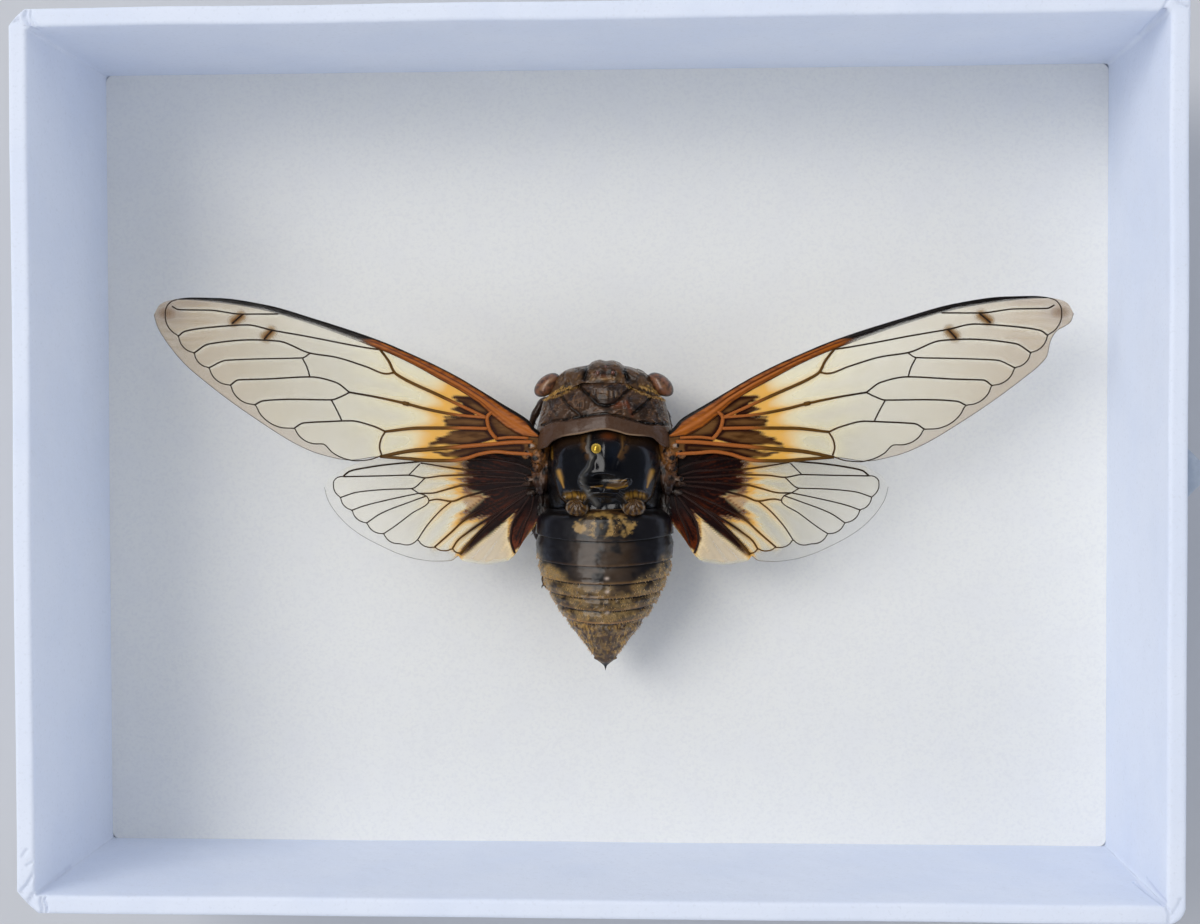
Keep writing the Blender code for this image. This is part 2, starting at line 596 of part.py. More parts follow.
def main():
    clear_scene()
    make_tray()
    make_foam_pad()
    make_pull_tab()
    specimen = bpy.data.objects.new("specimen", None)
    bpy.context.scene.collection.objects.link(specimen)
    specimen.location = (SPECIMEN_X * MM, 0.0, AXIS_HEIGHT * MM)
    make_pin(specimen)
    make_head(specimen)
    make_pronotum(specimen)
    make_mesothorax(specimen)
    make_abdomen(specimen)
    make_wings(specimen)
    make_legs(specimen)


main()
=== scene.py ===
"""A dried cicada spread on a pin, in an open white box with a foam pad, laid out as a Blender add-on.

Run as a script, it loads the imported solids, gives each of them its finished surface and sets the stage.
Lengths in the code are millimetres. The box is drawn about the middle of its underside, and the insect
about its own body axis: x runs to its right, y to its head and z up. Wings and legs are drawn with x
outwards and placed on both sides. The property groups hold what a user would change, in Blender's units.
"""

import math

import bmesh
import bpy
import numpy as np
from bpy.props import FloatProperty, FloatVectorProperty, IntProperty, PointerProperty
from mathutils import Matrix, Vector, noise


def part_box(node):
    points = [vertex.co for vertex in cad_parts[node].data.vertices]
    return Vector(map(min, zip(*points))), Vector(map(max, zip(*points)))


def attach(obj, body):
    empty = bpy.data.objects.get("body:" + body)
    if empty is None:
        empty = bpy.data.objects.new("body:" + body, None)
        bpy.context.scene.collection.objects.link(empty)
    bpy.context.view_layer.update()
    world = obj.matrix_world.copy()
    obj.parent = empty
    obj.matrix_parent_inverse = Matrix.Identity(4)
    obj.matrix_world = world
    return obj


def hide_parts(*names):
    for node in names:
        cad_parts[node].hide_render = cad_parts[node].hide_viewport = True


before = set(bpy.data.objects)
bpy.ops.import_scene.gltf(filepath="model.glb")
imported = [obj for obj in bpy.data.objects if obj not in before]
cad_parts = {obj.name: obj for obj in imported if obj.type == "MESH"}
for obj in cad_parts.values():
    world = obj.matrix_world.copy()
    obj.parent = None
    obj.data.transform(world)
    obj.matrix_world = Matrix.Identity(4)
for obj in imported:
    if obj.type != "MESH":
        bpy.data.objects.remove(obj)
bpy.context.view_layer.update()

bl_info = {
    "name": "Framed Cicada Specimen",
    "version": (1, 0, 0),
    "blender": (4, 5, 0),
    "location": "View3D > Sidebar > Cicada",
    "description": "Finishes a pinned cicada in its open paper-covered box",
    "category": "Add Mesh",
}

MM = 0.001
SIDES = ((-1, "left"), (1, "right"))

# Place of the pin's head about the insect's body axis
PIN_PLACE = Vector((-0.5, 1.8, 15.0))

# Box corners as (sign of x, sign of y, outer round at the rim, how much of that round is knocked flat)
BOX_CORNERS = ((1, 1, 1.3, 0.0), (-1, 1, 2.5, 0.8), (-1, -1, 3.2, 0.85), (1, -1, 2.3, 0.3))
INNER_ROUND = 0.6
FOOT_ROUND = 1.1
# Near its corners the paper's mesh is fine enough for the folds
CORNER_ZONE = 9.0
CORNER_STEP = 0.14

# Folds in the box's paper: (half width, depth, points). Depth above 0 is a ridge.
RIM = 44.0
FOLDS = (
    (0.22, -0.30, ((-77.2, 62.4, RIM), (-77.4, 61.4, RIM), (-76.9, 60.3, RIM), (-76.2, 59.7, 42.6))),
    (0.18, -0.16, ((-76.5, 62.4, RIM), (-76.6, 61.3, RIM), (-76.0, 60.2, RIM), (-75.4, 59.9, 43.0))),
    (0.20, 0.12, ((-78.0, 62.2, RIM), (-78.1, 61.2, RIM), (-77.6, 60.2, RIM))),
    (0.22, -0.25, ((-79.8, 60.4, RIM), (-79.0, 60.6, RIM), (-78.4, 60.9, RIM))),
    (0.35, 0.10, ((-76.9, 59.4, 40.0), (-76.9, 59.2, 25.0))),
    (0.34, -0.60, ((76.4, 59.9, 43.8), (76.6, 59.6, 38.0), (76.9, 59.5, 30.0))),
    (0.20, -0.14, ((77.2, 61.8, RIM), (76.6, 60.8, RIM), (76.2, 59.9, RIM))),
    (0.22, -0.22, ((79.6, 60.4, RIM), (78.6, 60.9, RIM), (78.0, 61.6, RIM))),
    (0.20, -0.20, ((-76.3, -59.9, RIM), (-76.5, -60.8, RIM), (-76.1, -61.6, RIM), (-76.2, -62.4, RIM))),
    (0.20, -0.26, ((-75.7, -59.9, RIM), (-75.9, -60.7, RIM), (-75.5, -61.4, RIM), (-75.6, -62.4, RIM))),
    (0.22, 0.12, ((-76.7, -60.2, RIM), (-76.9, -61.2, RIM), (-76.6, -62.2, RIM))),
    (0.25, -0.22, ((-77.6, -59.6, RIM), (-78.1, -60.8, RIM), (-78.3, -61.3, RIM))),
    (0.24, -0.20, ((-77.5, -56.8, RIM), (-78.4, -58.3, RIM), (-79.4, -59.4, RIM))),
    (0.18, -0.16, ((-77.5, -55.1, RIM), (-78.4, -55.6, RIM))),
    (0.18, -0.14, ((-78.4, -53.4, RIM), (-79.1, -54.4, RIM))),
    (0.26, -0.34, ((-76.8, -59.5, 43.6), (-76.9, -59.4, 38.0), (-77.0, -59.3, 30.0))),
    (0.22, -0.55, ((76.9, -59.6, 43.6), (76.5, -59.7, 38.0), (76.2, -59.8, 32.0))),
    (0.20, -0.50, ((77.1, -59.2, 43.6), (77.1, -58.9, 38.0), (77.2, -58.7, 34.0))),
    (0.22, -0.20, ((77.2, -59.9, RIM), (77.6, -61.0, RIM), (77.5, -62.0, RIM))),
    (0.22, -0.16, ((79.3, -58.8, RIM), (78.8, -60.0, RIM), (78.0, -61.2, RIM))),
)  # fmt: skip

# How far the foam presses into the paper on each side
FOAM_SQUEEZE = 0.35

# Tab: a half octagon of board
TAB_CHAMFER = 0.8
TAB_ROUND = 0.25

# Pin: the length of its ground point, and how far the wire reaches into the ball
PIN_POINT = 3.2
PIN_SEAT = 0.3

# Body
HEAD_HALF_WIDTH = 8.2
HEAD_MIDDLE = 0.4
NECK_Y = 11.5
NECK_SLOPE_START = 3.0
NECK_SLOPE = 0.46
NECK_OVERLAP = 0.3
COLLAR_OVERLAP = 0.5
PRONOTUM_HALF_WIDTH = 10.2
THORAX_HALF_WIDTH = 8.7
THORAX_REAR = -7.4
ABDOMEN_FRONT = -7.7
ABDOMEN_DROOP = 0.09
# Places along the body where each ring of the abdomen laps over the next, and where the last one ends
ABDOMEN_RINGS = (-11.4, -15.1, -17.7, -19.8, -21.6, -23.5)
LAST_RING_END = -27.5
SPINE_TIP = -31.7

# Lines across the body from left to right: the head's front, and the two edges of the first shield's collar
HEAD_FRONT = (
    (-8.6, 12.2), (-7.3, 12.8), (-5.2, 13.5), (-2.9, 13.8), (-2.3, 13.9), (-1.6, 14.4), (-0.5, 14.7),
    (0.3, 14.5), (1.2, 14.6), (2.3, 14.3), (3.0, 13.8), (3.7, 13.7), (5.3, 13.3), (7.4, 12.7), (8.6, 12.1),
)  # fmt: skip
COLLAR_FRONT = (
    (-10.8, 4.4), (-8.8, 5.1), (-6.8, 5.7), (-5.3, 5.8), (-2.5, 6.3), (0.3, 6.6), (3.8, 5.9), (6.6, 5.2),
    (9.7, 5.0), (10.8, 4.8),
)  # fmt: skip
COLLAR_REAR = (
    (-10.8, 1.2), (-8.4, 1.8), (-7.2, 2.8), (-5.7, 3.4), (-3.1, 3.8), (-1.3, 4.2), (0.3, 4.4), (1.8, 4.15),
    (3.8, 3.6), (6.9, 3.3), (8.9, 1.9), (10.8, 1.6),
)  # fmt: skip

# Share of the way from front to back, half width, rise, drop
HEAD_ROWS = (
    (0.0, 0.0, 0.0, 0.0), (0.0, 0.25, 0.8, 2.0), (0.0, 0.45, 1.6, 3.8), (0.06, 0.66, 2.6, 5.3),
    (0.18, 0.82, 3.6, 6.1), (0.5, 0.95, 4.4, 6.5), (0.85, 1.0, 4.8, 6.4), (1.0, 0.97, 4.9, 6.0),
    (1.0, 0.6, 3.0, 3.8), (1.0, 0.0, 0.0, 0.0),
)  # fmt: skip
PRONOTUM_ROWS = (
    (0.0, 0.0, 0.0, 0.0), (0.0, 0.5, 2.6, 3.0), (0.0, 0.86, 4.5, 5.0), (0.1, 0.9, 5.0, 5.4),
    (0.22, 0.92, 5.4, 5.6), (0.34, 0.94, 5.7, 5.6), (0.46, 0.96, 5.9, 5.6), (0.57, 0.98, 6.0, 5.6),
    (0.66, 0.99, 6.1, 5.6), (0.75, 1.0, 6.3, 5.6), (0.88, 1.0, 6.5, 5.6), (1.0, 0.99, 6.3, 5.4),
    (1.0, 0.85, 5.2, 5.0), (1.0, 0.45, 2.6, 3.0), (1.0, 0.0, 0.0, 0.0),
)  # fmt: skip
THORAX_ROWS = (
    (0.0, 0.0, 0.0, 0.0), (0.0, 0.5, 3.0, 3.4), (0.0, 0.9, 4.6, 6.2), (0.07, 0.95, 5.6, 6.6),
    (0.17, 0.98, 6.6, 6.8), (0.28, 1.0, 7.2, 7.0), (0.4, 1.0, 7.5, 7.0), (0.5, 1.0, 7.5, 7.0),
    (0.58, 1.0, 7.3, 7.0), (0.65, 0.99, 7.0, 7.0), (0.72, 0.98, 6.6, 6.9), (0.79, 0.97, 6.2, 6.8),
    (0.86, 0.95, 5.8, 6.7), (0.93, 0.93, 5.5, 6.6), (1.0, 0.9, 5.2, 6.4), (1.0, 0.5, 3.0, 3.6),
    (1.0, 0.0, 0.0, 0.0),
)  # fmt: skip
# Place along the body, half width, rise
ABDOMEN_PLATES = (
    (-7.7, 8.7, 4.5), (-8.6, 9.6, 5.6), (-9.8, 10.0, 6.2), (-11.4, 10.2, 6.5), (-15.1, 10.0, 6.5),
    (-17.7, 9.4, 6.1), (-19.8, 8.5, 5.6), (-21.6, 7.5, 4.9), (-23.5, 6.2, 4.1), (-27.0, 3.45, 2.6),
    (-29.4, 1.7, 1.4), (-30.1, 1.2, 1.05),
)  # fmt: skip
# Its front end: share of the way from its front pole to its tip, half width, rise
ABDOMEN_CAP = ((0.0, 0.0, 0.0), (0.03, 4.3, 2.4), (0.05, 7.8, 4.1), (0.06, 8.7, 4.5))

# Lobes and furrows of the first shield, about its own middle line
LOBE_MIDDLE = 0.5
MIDDLE_LOBE = ((-3.9, 11.4), (3.9, 11.4), (3.2, 9.9), (1.5, 8.3), (-1.3, 8.3), (-2.9, 9.8))
SIDE_LOBE = ((3.1, 9.5), (5.2, 9.4), (5.8, 8.5), (4.8, 7.1), (3.7, 6.8), (2.5, 7.2), (2.2, 8.6))
OUTER_LOBE = ((6.6, 8.9), (9.2, 8.0), (9.5, 6.2), (7.4, 6.1), (6.3, 7.4))
LOBE_FURROWS = (((4.2, 10.9), (2.7, 9.6), (1.3, 8.1), (0.0, 7.8)), ((6.7, 9.3), (5.7, 8.0), (3.9, 6.6)))

# Forms of the second shield. Its edge, the cross's arms and the rear plates lie about its own middle line
THORAX_MIDDLE = 0.35
SHIELD_EDGE = ((-1.0, 9.0), (8.1, 9.0), (8.1, 1.6), (8.0, -1.8), (7.0, -5.3), (5.0, -7.2), (-1.0, -7.4))
CROSS_ARM = ((0.0, -4.6), (1.8, -4.8), (2.9, -5.7), (3.2, -7.3))
CROSS_SWEEP = ((-1.4, 0.6), (-1.9, -0.9), (-3.0, -2.3), (-2.8, -3.6), (-2.0, -4.9), (-0.9, -6.4))
CROSS_FLAT = ((0.5, -3.3), (2.2, -2.9), (3.8, -3.1), (3.9, -3.7), (2.2, -4.2), (0.6, -4.0))
REAR_PLATE = ((2.7, -5.9), (5.6, -6.0), (5.6, -7.3), (3.2, -7.5))
# Lobes beside the cross: distance from the middle, y, z, and their half sizes. Their grooves fan from one y
THORAX_LOBE = (4.1, -6.9, 4.9)
THORAX_LOBE_SIZE = (1.75, 1.3, 1.15)
LOBE_FAN_Y = -5.7

# Golden patch on the abdomen's first rings, and the dark heart in it
GOLD_PATCH = (
    (-4.8, -9.8), (-3.7, -8.8), (-2.7, -7.9), (0.0, -7.3), (2.7, -7.9), (5.0, -9.1), (4.5, -10.3),
    (3.5, -11.2), (-1.3, -11.3), (-3.3, -10.8),
)  # fmt: skip
PATCH_HEART = ((-1.3, -8.2), (0.7, -8.0), (1.2, -9.4), (0.6, -11.0), (-1.2, -11.2))

EYE_CENTRE = (8.35, 11.0, 1.2)
EYE_RADII = (2.25, 1.35, 1.7)
EYE_TURN = 40.0
# Ocelli as (x, y, z, radius)
OCELLI = ((-0.7, 12.65, 5.1, 0.3), (1.5, 12.65, 5.1, 0.3), (0.4, 13.5, 4.35, 0.24))

# Legs, beak and antennae as (x outwards, y, z, radius)
LEGS = {
    "foreleg": (
        (3.0, 6.4, -7.7, 0.9), (5.2, 7.4, -8.2, 1.0), (8.0, 8.6, -7.9, 1.0), (9.4, 8.7, -7.0, 0.7),
        (10.3, 7.6, -6.2, 0.55), (11.2, 5.6, -6.2, 0.5), (11.5, 4.2, -6.8, 0.45), (11.0, 2.2, -8.4, 0.4),
        (9.4, 0.4, -10.2, 0.35), (8.6, -0.4, -10.6, 0.15),
    ),
    "midleg": (
        (3.4, 0.4, -8.3, 0.85), (5.8, -0.8, -8.6, 0.85), (8.4, -2.4, -8.6, 0.7), (9.8, -4.2, -8.3, 0.5),
        (10.7, -7.2, -8.2, 0.45), (11.2, -10.2, -8.4, 0.42), (10.8, -12.2, -9.4, 0.35),
        (9.8, -13.8, -10.6, 0.15),
    ),
    "hindleg": (
        (3.2, -4.2, -8.2, 0.85), (5.2, -6.4, -8.7, 0.8), (7.0, -9.2, -8.9, 0.65), (7.9, -11.6, -8.8, 0.5),
        (8.6, -14.4, -8.6, 0.42), (9.2, -17.2, -8.2, 0.38), (9.7, -18.4, -7.4, 0.32),
        (9.6, -19.2, -6.6, 0.15),
    ),
}  # fmt: skip
TUCKED_LEGS = 0.84
# A leg is drawn in steps from its root. Joints lie at shares of its length
LEG_STEPS = 60
LEG_JOINTS = (0.22, 0.5, 0.8)
SPINED_STEPS = range(14, 50, 5)
BEAK = ((0.0, 10.2, -7.3, 0.85), (0.0, 7.6, -7.9, 0.7), (0.0, 5.2, -8.2, 0.5), (0.0, 3.0, -8.3, 0.25))
ANTENNA = ((4.8, 13.3, -4.3, 0.26), (5.5, 13.1, -5.3, 0.2), (6.1, 12.6, -6.3, 0.15), (6.5, 12.0, -7.2, 0.12))

# Where the golden hairs grow: the surface, the mark they follow, their share and how long they are
HAIR_BEDS = (
    ("thorax_shield", "tuft", 0.30, 2.2), ("thorax_shield", "gold", 0.10, 1.2),
    ("abdomen_rings", "gold", 0.26, 0.6), ("pronotum_shield", "gold", 0.10, 0.8),
    ("head_capsule", "gold", 0.06, 0.8),
)  # fmt: skip
HAIR_RADIUS = 0.028
TUFT_RADIUS = 0.05

# Forewing
FOREWING_LEVEL = 2.6
FOREWING_ROOT = (11.0, 5.2)
RIGHT_FOREWING_STRETCH = 1.02
RIGHT_FOREWING_TURN = -0.6
FOREWING_LEAD = (
    (9.3, 4.0), (10.1, 4.7), (10.9, 5.7), (12.6, 6.9), (14.3, 7.9), (17.7, 10.0), (21.0, 12.0), (24.4, 13.8),
    (27.8, 15.4), (32.9, 17.6), (42.4, 20.8), (50.0, 23.0), (56.8, 24.0), (60.9, 24.1), (64.5, 23.6),
    (65.7, 23.0), (66.5, 21.6),
)  # fmt: skip
FOREWING_TRAIL = (
    (9.4, 0.2), (13.6, 0.9), (15.8, 1.1), (18.0, 0.8), (20.4, 0.2), (22.6, -0.2), (25.2, -0.2),
    (29.0, 0.2), (33.0, 0.5), (37.5, 0.0), (41.6, 0.8), (44.5, 1.9), (52.0, 6.5), (59.6, 12.2),
    (62.3, 14.6), (65.1, 18.2), (66.1, 20.1), (66.5, 21.6),
)  # fmt: skip
COSTA_INNER = (
    (9.6, 3.2), (11.8, 3.5), (14.3, 4.8), (16.6, 6.7), (18.3, 8.3), (21.0, 10.1), (24.4, 12.0), (27.8, 13.9),
    (31.6, 15.7), (34.6, 16.9), (42.4, 19.8), (50.0, 22.1), (56.8, 23.3), (60.9, 23.7), (63.2, 23.8),
)  # fmt: skip
COSTA_END = 63.3
COSTA_THICKNESS = 0.12
# The front edge is a curve, so its share of length up to that x is this much less than its share of x
COSTA_PULL = 0.972
NODE_X = 33.4
AMBIENT_ENDS = (
    (63.1, 23.8), (64.8, 22.2), (62.9, 18.4), (60.6, 15.9), (58.4, 13.7), (55.2, 11.1), (51.6, 8.2),
    (45.8, 4.7), (41.6, 2.4), (32.9, 0.6),
)  # fmt: skip
TORN_TIP = ((62.9, 15.5), (63.3, 17.5), (64.3, 19.2), (65.2, 19.7), (66.1, 20.4), (66.5, 21.6))
FOREWING_VEINS = (
    (0.17, ((48.0, 21.6), (51.0, 21.6), (53.3, 21.6), (58.2, 22.2), (62.8, 22.3), (63.8, 22.8))),
    (0.20, ((53.3, 21.6), (54.1, 20.9), (54.9, 20.2))),
    (0.18, ((32.4, 16.2), (34.0, 16.4), (37.4, 17.0), (43.4, 18.2), (48.9, 19.2), (52.7, 20.0), (57.7, 19.7),
            (61.9, 19.1), (62.9, 18.4))),
    (0.20, ((48.9, 19.2), (49.6, 18.5), (50.1, 17.9))),
    (0.18, ((30.8, 12.9), (31.9, 12.7), (35.1, 13.8), (39.6, 15.2), (43.3, 15.8), (48.1, 17.6),
            (52.0, 17.8), (58.4, 17.2), (60.6, 15.9))),
    (0.16, ((43.3, 15.8), (44.5, 15.1), (50.1, 15.0), (55.8, 14.8), (58.4, 13.7))),
    (0.16, ((44.5, 15.1), (43.8, 13.7), (43.4, 12.3))),
    (0.18, ((37.5, 10.0), (39.6, 11.5), (43.4, 12.3), (50.1, 12.0), (54.0, 11.9), (55.2, 11.1))),
    (0.18, ((37.5, 10.0), (38.7, 9.4), (40.2, 8.9), (46.3, 9.0), (50.3, 8.8), (51.6, 8.2))),
    (0.16, ((40.2, 8.9), (39.4, 7.4), (38.7, 5.9))),
    (0.18, ((32.2, 4.2), (34.0, 5.0), (37.4, 5.8), (40.6, 5.7), (44.4, 5.5), (45.8, 4.7))),
    (0.22, ((17.0, 6.2), (21.4, 6.6), (26.1, 7.5), (29.1, 8.3), (33.6, 9.3), (37.5, 10.0))),
    (0.34, ((28.7, 8.2), (29.1, 8.3), (29.5, 8.4))),
    (0.24, ((17.2, 6.2), (20.4, 7.7), (24.2, 9.5), (29.3, 11.9), (30.8, 12.9), (31.6, 14.5), (33.0, 16.4))),
    (0.28, ((16.2, 7.2), (17.1, 6.2), (16.9, 4.9), (16.4, 3.9), (15.6, 3.0))),
    (0.25, ((17.0, 4.6), (21.4, 4.7), (27.0, 4.7), (32.2, 4.2))),
    (0.17, ((32.2, 4.2), (32.9, 3.0), (33.1, 1.9), (32.8, 0.8))),
    (0.30, ((10.4, 2.6), (12.3, 2.6), (16.7, 2.3), (20.4, 2.0), (25.2, 1.6), (28.0, 1.4), (33.0, 0.5))),
    (0.22, ((11.0, 3.2), (13.6, 3.3), (15.9, 3.1))),
    (0.27, ((10.4, 0.8), (13.6, 1.0), (15.8, 1.2), (18.0, 0.9), (20.4, 0.2), (22.6, -0.1), (25.2, -0.1),
            (29.0, 0.2), (33.0, 0.5))),
)  # fmt: skip
# Dark stains between the veins at the forewing's base
FOREWING_STAINS = (
    ((22.1, 9.4), (19.4, 8.9), (17.3, 7.5), (16.7, 6.8), (18.0, 6.7), (20.0, 8.0), (21.4, 8.7)),
    ((16.5, 6.4), (15.6, 6.2), (13.2, 4.3), (11.8, 3.4), (13.8, 3.4), (15.7, 3.7), (16.7, 5.6)),
    ((22.3, 7.5), (21.3, 7.8), (20.0, 7.1), (19.3, 6.7), (20.7, 6.9)),
    ((23.3, 6.3), (20.1, 6.2), (17.4, 5.9), (17.4, 4.9), (23.3, 5.0)),
    ((26.0, 2.3), (23.4, 3.6), (22.2, 4.4), (17.4, 4.3), (16.4, 3.3), (19.7, 2.4), (25.6, 1.9)),
    ((24.9, 1.0), (20.2, 1.7), (12.0, 2.1), (12.0, 1.4), (18.6, 1.2), (22.1, 0.1), (23.0, 0.3)),
    ((15.6, 3.1), (12.0, 3.1), (12.0, 2.8), (15.0, 2.7)),
)  # fmt: skip
WING_SPOTS = (((53.6, 21.3), (54.6, 20.5)), ((49.1, 19.0), (49.9, 18.2)))

# Hindwing
HINDWING_LEVEL = 0.5
HINDWING_LEAD = (
    (9.2, -0.8), (12.0, 0.8), (16.0, 1.2), (22.0, 0.8), (28.0, 0.5), (34.9, 0.0), (37.2, -0.7),
    (39.5, -1.7), (41.1, -2.9), (41.7, -4.1),
)  # fmt: skip
HINDWING_TRAIL = (
    (9.0, -5.2), (9.7, -8.7), (12.0, -12.1), (13.2, -14.0), (14.1, -14.9), (15.5, -15.3), (17.8, -15.6),
    (20.0, -15.3), (21.2, -15.0), (21.8, -14.3), (22.8, -15.0), (25.1, -15.1), (27.8, -14.8), (30.6, -14.0),
    (33.3, -12.8), (36.1, -11.3), (38.4, -9.6), (40.2, -7.6), (41.3, -5.7), (41.7, -4.1),
)  # fmt: skip
HIND_AMBIENT_ENDS = (
    (38.9, -2.5), (40.3, -3.2), (39.3, -5.6), (37.6, -7.5), (35.4, -9.4), (32.9, -11.0), (30.4, -12.5),
    (27.8, -11.9), (25.3, -13.0), (22.6, -13.2), (21.5, -13.9),
)  # fmt: skip
HINDWING_VEINS = (
    (0.20, ((9.4, -2.2), (13.0, -0.6), (18.0, 0.1), (24.0, 0.0), (28.7, -0.4), (32.1, -0.7), (35.6, -1.2),
            (37.9, -1.7), (38.9, -2.5))),
    (0.15, ((11.0, -2.4), (14.0, -1.7), (20.2, -1.5), (27.3, -0.5))),
    (0.16, ((11.2, -2.8), (15.0, -2.6), (20.2, -2.3), (24.1, -2.4), (26.6, -2.7), (29.1, -2.3), (33.3, -2.4),
            (38.8, -2.5))),
    (0.13, ((29.1, -2.3), (27.4, -0.6))),
    (0.14, ((26.6, -2.7), (28.7, -4.3), (32.1, -4.4), (36.7, -4.8), (39.3, -5.6))),
    (0.16, ((11.0, -3.3), (14.8, -3.4), (20.9, -3.8), (23.0, -4.3), (26.0, -5.0), (27.6, -5.0))),
    (0.13, ((28.7, -4.3), (27.6, -5.0))),
    (0.14, ((27.6, -5.0), (31.0, -5.7), (35.6, -6.8), (37.6, -7.5))),
    (0.14, ((26.5, -5.4), (28.7, -6.2), (33.3, -8.0), (35.4, -9.4))),
    (0.13, ((27.6, -5.0), (26.5, -5.4), (26.1, -6.1), (28.7, -8.0), (31.5, -10.1), (32.9, -11.0))),
    (0.16, ((11.0, -3.8), (15.0, -4.2), (20.7, -5.5), (22.7, -6.2), (25.0, -5.9), (26.1, -6.1))),
    (0.14, ((22.7, -6.2), (24.1, -7.3), (26.4, -9.8), (27.8, -11.9))),
    (0.17, ((11.1, -4.4), (14.8, -5.9), (17.3, -7.0), (20.7, -8.9), (23.0, -11.0), (25.3, -13.0))),
    (0.15, ((15.0, -7.4), (18.6, -9.6), (20.3, -10.8), (21.9, -12.1), (22.6, -13.2))),
    (0.22, ((11.0, -4.8), (13.6, -6.6), (16.1, -8.5), (19.6, -11.9), (21.5, -14.1))),
    (0.17, ((10.9, -5.4), (12.2, -7.2), (13.6, -9.6), (13.9, -11.9), (13.3, -13.9))),
    (0.15, ((10.4, -5.4), (10.8, -7.4), (11.8, -9.8), (12.6, -12.4))),
)  # fmt: skip
# Reach of the hindwing's dark base from its root, by direction in degrees
HIND_ROOT = (9.0, -3.0)
FAN_REACH = (
    (-90, 6.5), (-73, 7.4), (-66, 10.8), (-60, 10.6), (-53, 8.0), (-48, 7.6), (-43, 16.3), (-41, 16.6),
    (-38, 11.6), (-33, 9.9), (-29, 12.6), (-25, 13.6), (-20, 11.4), (-16, 8.8), (-13, 11.6), (-8, 11.6),
    (-4, 12.4), (1, 11.6), (6, 11.9), (11, 12.4), (20, 12.6), (32, 11.0),
)  # fmt: skip
# Veins along which the dark base runs out in rays, by their place in the list, and the rays' widths
RAY_WIDTHS = ((-6, 0.34), (-5, 0.24), (-4, 0.4), (-3, 0.3))
# Tan lobe behind the dark base, brown strip along the body, and pale window in the dark base
TAN_LOBE = (
    (21.2, -14.3), (18.1, -11.7), (14.9, -9.2), (14.1, -8.8), (14.2, -11.3), (13.4, -13.9), (14.1, -14.9),
    (17.8, -15.6), (21.2, -15.0),
)  # fmt: skip
INNER_STRIP = (
    (9.2, -5.5), (11.0, -6.4), (13.4, -9.6), (14.0, -11.9), (13.6, -13.7), (12.4, -13.0), (9.6, -8.6),
)  # fmt: skip
FAN_WINDOW = ((20.6, -4.6), (18.2, -4.9), (18.0, -5.8), (20.0, -7.6), (21.2, -6.2))

# Wing hinges: lumps as (x outwards, y, z, and their three half sizes)
HINGE_LUMPS = (
    (10.4, 2.1, 2.7, 0.7, 0.5, 0.5), (9.6, 0.6, 2.3, 1.1, 1.2, 0.8), (11.3, 0.9, 2.4, 0.9, 0.8, 0.4),
    (11.3, 3.0, 2.5, 1.1, 0.7, 0.5), (9.9, -1.2, 1.8, 1.0, 0.8, 0.7), (10.6, -2.8, 1.0, 1.2, 0.5, 0.5),
    (11.2, -3.7, 0.8, 1.0, 0.4, 0.4), (10.6, -4.8, 0.8, 1.1, 0.5, 0.5), (9.4, -6.0, 0.4, 0.5, 1.5, 0.5),
    (9.4, -3.6, 1.0, 0.9, 1.8, 0.9), (9.6, 3.2, 1.4, 1.4, 1.4, 1.2), (9.3, -0.6, 0.8, 1.6, 4.6, 1.3),
    (9.3, -6.9, -0.2, 1.4, 2.8, 0.9),
)  # fmt: skip

# Where the camera stands, and its turn in degrees from looking straight down
CAMERA_PLACE = (11.60, 4.93, 274.01)
CAMERA_TURN = (1.2146, -2.5815, 0.1044)
SENSOR_WIDTH = 36.0

# Lights as (place, size) in metres: the window beside the box, and its bright pane that varnish mirrors
WINDOW = ((-1.32, 0.8, 1.96), (1.0, 1.5))
PANE = ((-0.25, 0.02, 1.0), (2.2, 0.36))
PANE_SHARE = 0.38
# The sky is shaded towards straight above, by the upward part of a direction, and mirrored more weakly
SHADE_START = 0.74
SHADE_FULL = 0.92
SHADED_SKY = 0.14
MIRRORED_SKY = 0.12
# Half the floor's side, in metres
FLOOR_HALF = 1.5

# How much rougher metal gets where hands have dulled it
HANDLED_DULLNESS = 0.22

COLOUR_MIX = {"kind": "ShaderNodeMix", "data_type": "RGBA", "out": 2}


def linear(code):
    """A colour written as sRGB hex, turned to the linear values that Blender uses."""
    parts = [int(code[i : i + 2], 16) / 255 for i in (0, 2, 4)]
    return (*(c / 12.92 if c <= 0.04045 else ((c + 0.055) / 1.055) ** 2.4 for c in parts), 1.0)


def tints(**codes):
    """Colours to lay on, each where the attribute of its name says."""
    return tuple((mark, linear(code)) for mark, code in codes.items())


def colour_property(name, description, code):
    return FloatVectorProperty(
        name=name, description=description, subtype="COLOR", size=4, min=0.0, max=1.0, default=linear(code)
    )


def length_property(name, description, millimetres):
    return FloatProperty(
        name=name, description=description, subtype="DISTANCE", unit="LENGTH", min=0.0,
        default=millimetres * MM, precision=5,
    )  # fmt: skip


class BoxSettings(bpy.types.PropertyGroup):
    """The box, its foam pad and its tab."""

    wall: length_property("Wall", "Thickness of the paper-covered board", 2.6)
    base: length_property("Base", "Thickness of the box's bottom", 2.0)
    rim_round: length_property("Rim round", "Rounding of the rim's two edges", 0.55)
    foam_round: length_property("Foam round", "Rounding of the foam pad's top edge", 0.18)
    foam_corner: length_property("Foam corner", "Rounding of the foam pad's corners", 1.3)
    foam_cell: length_property("Foam cell", "Size of the cells, coarser than real so that they show", 0.45)
    paper: colour_property("Paper", "Colour of the box's paper", "e2eafa")
    foam: colour_property("Foam", "Colour of the foam pad", "f0f1ef")
    board: colour_property("Board", "Colour of the tab", "a9b6c8")


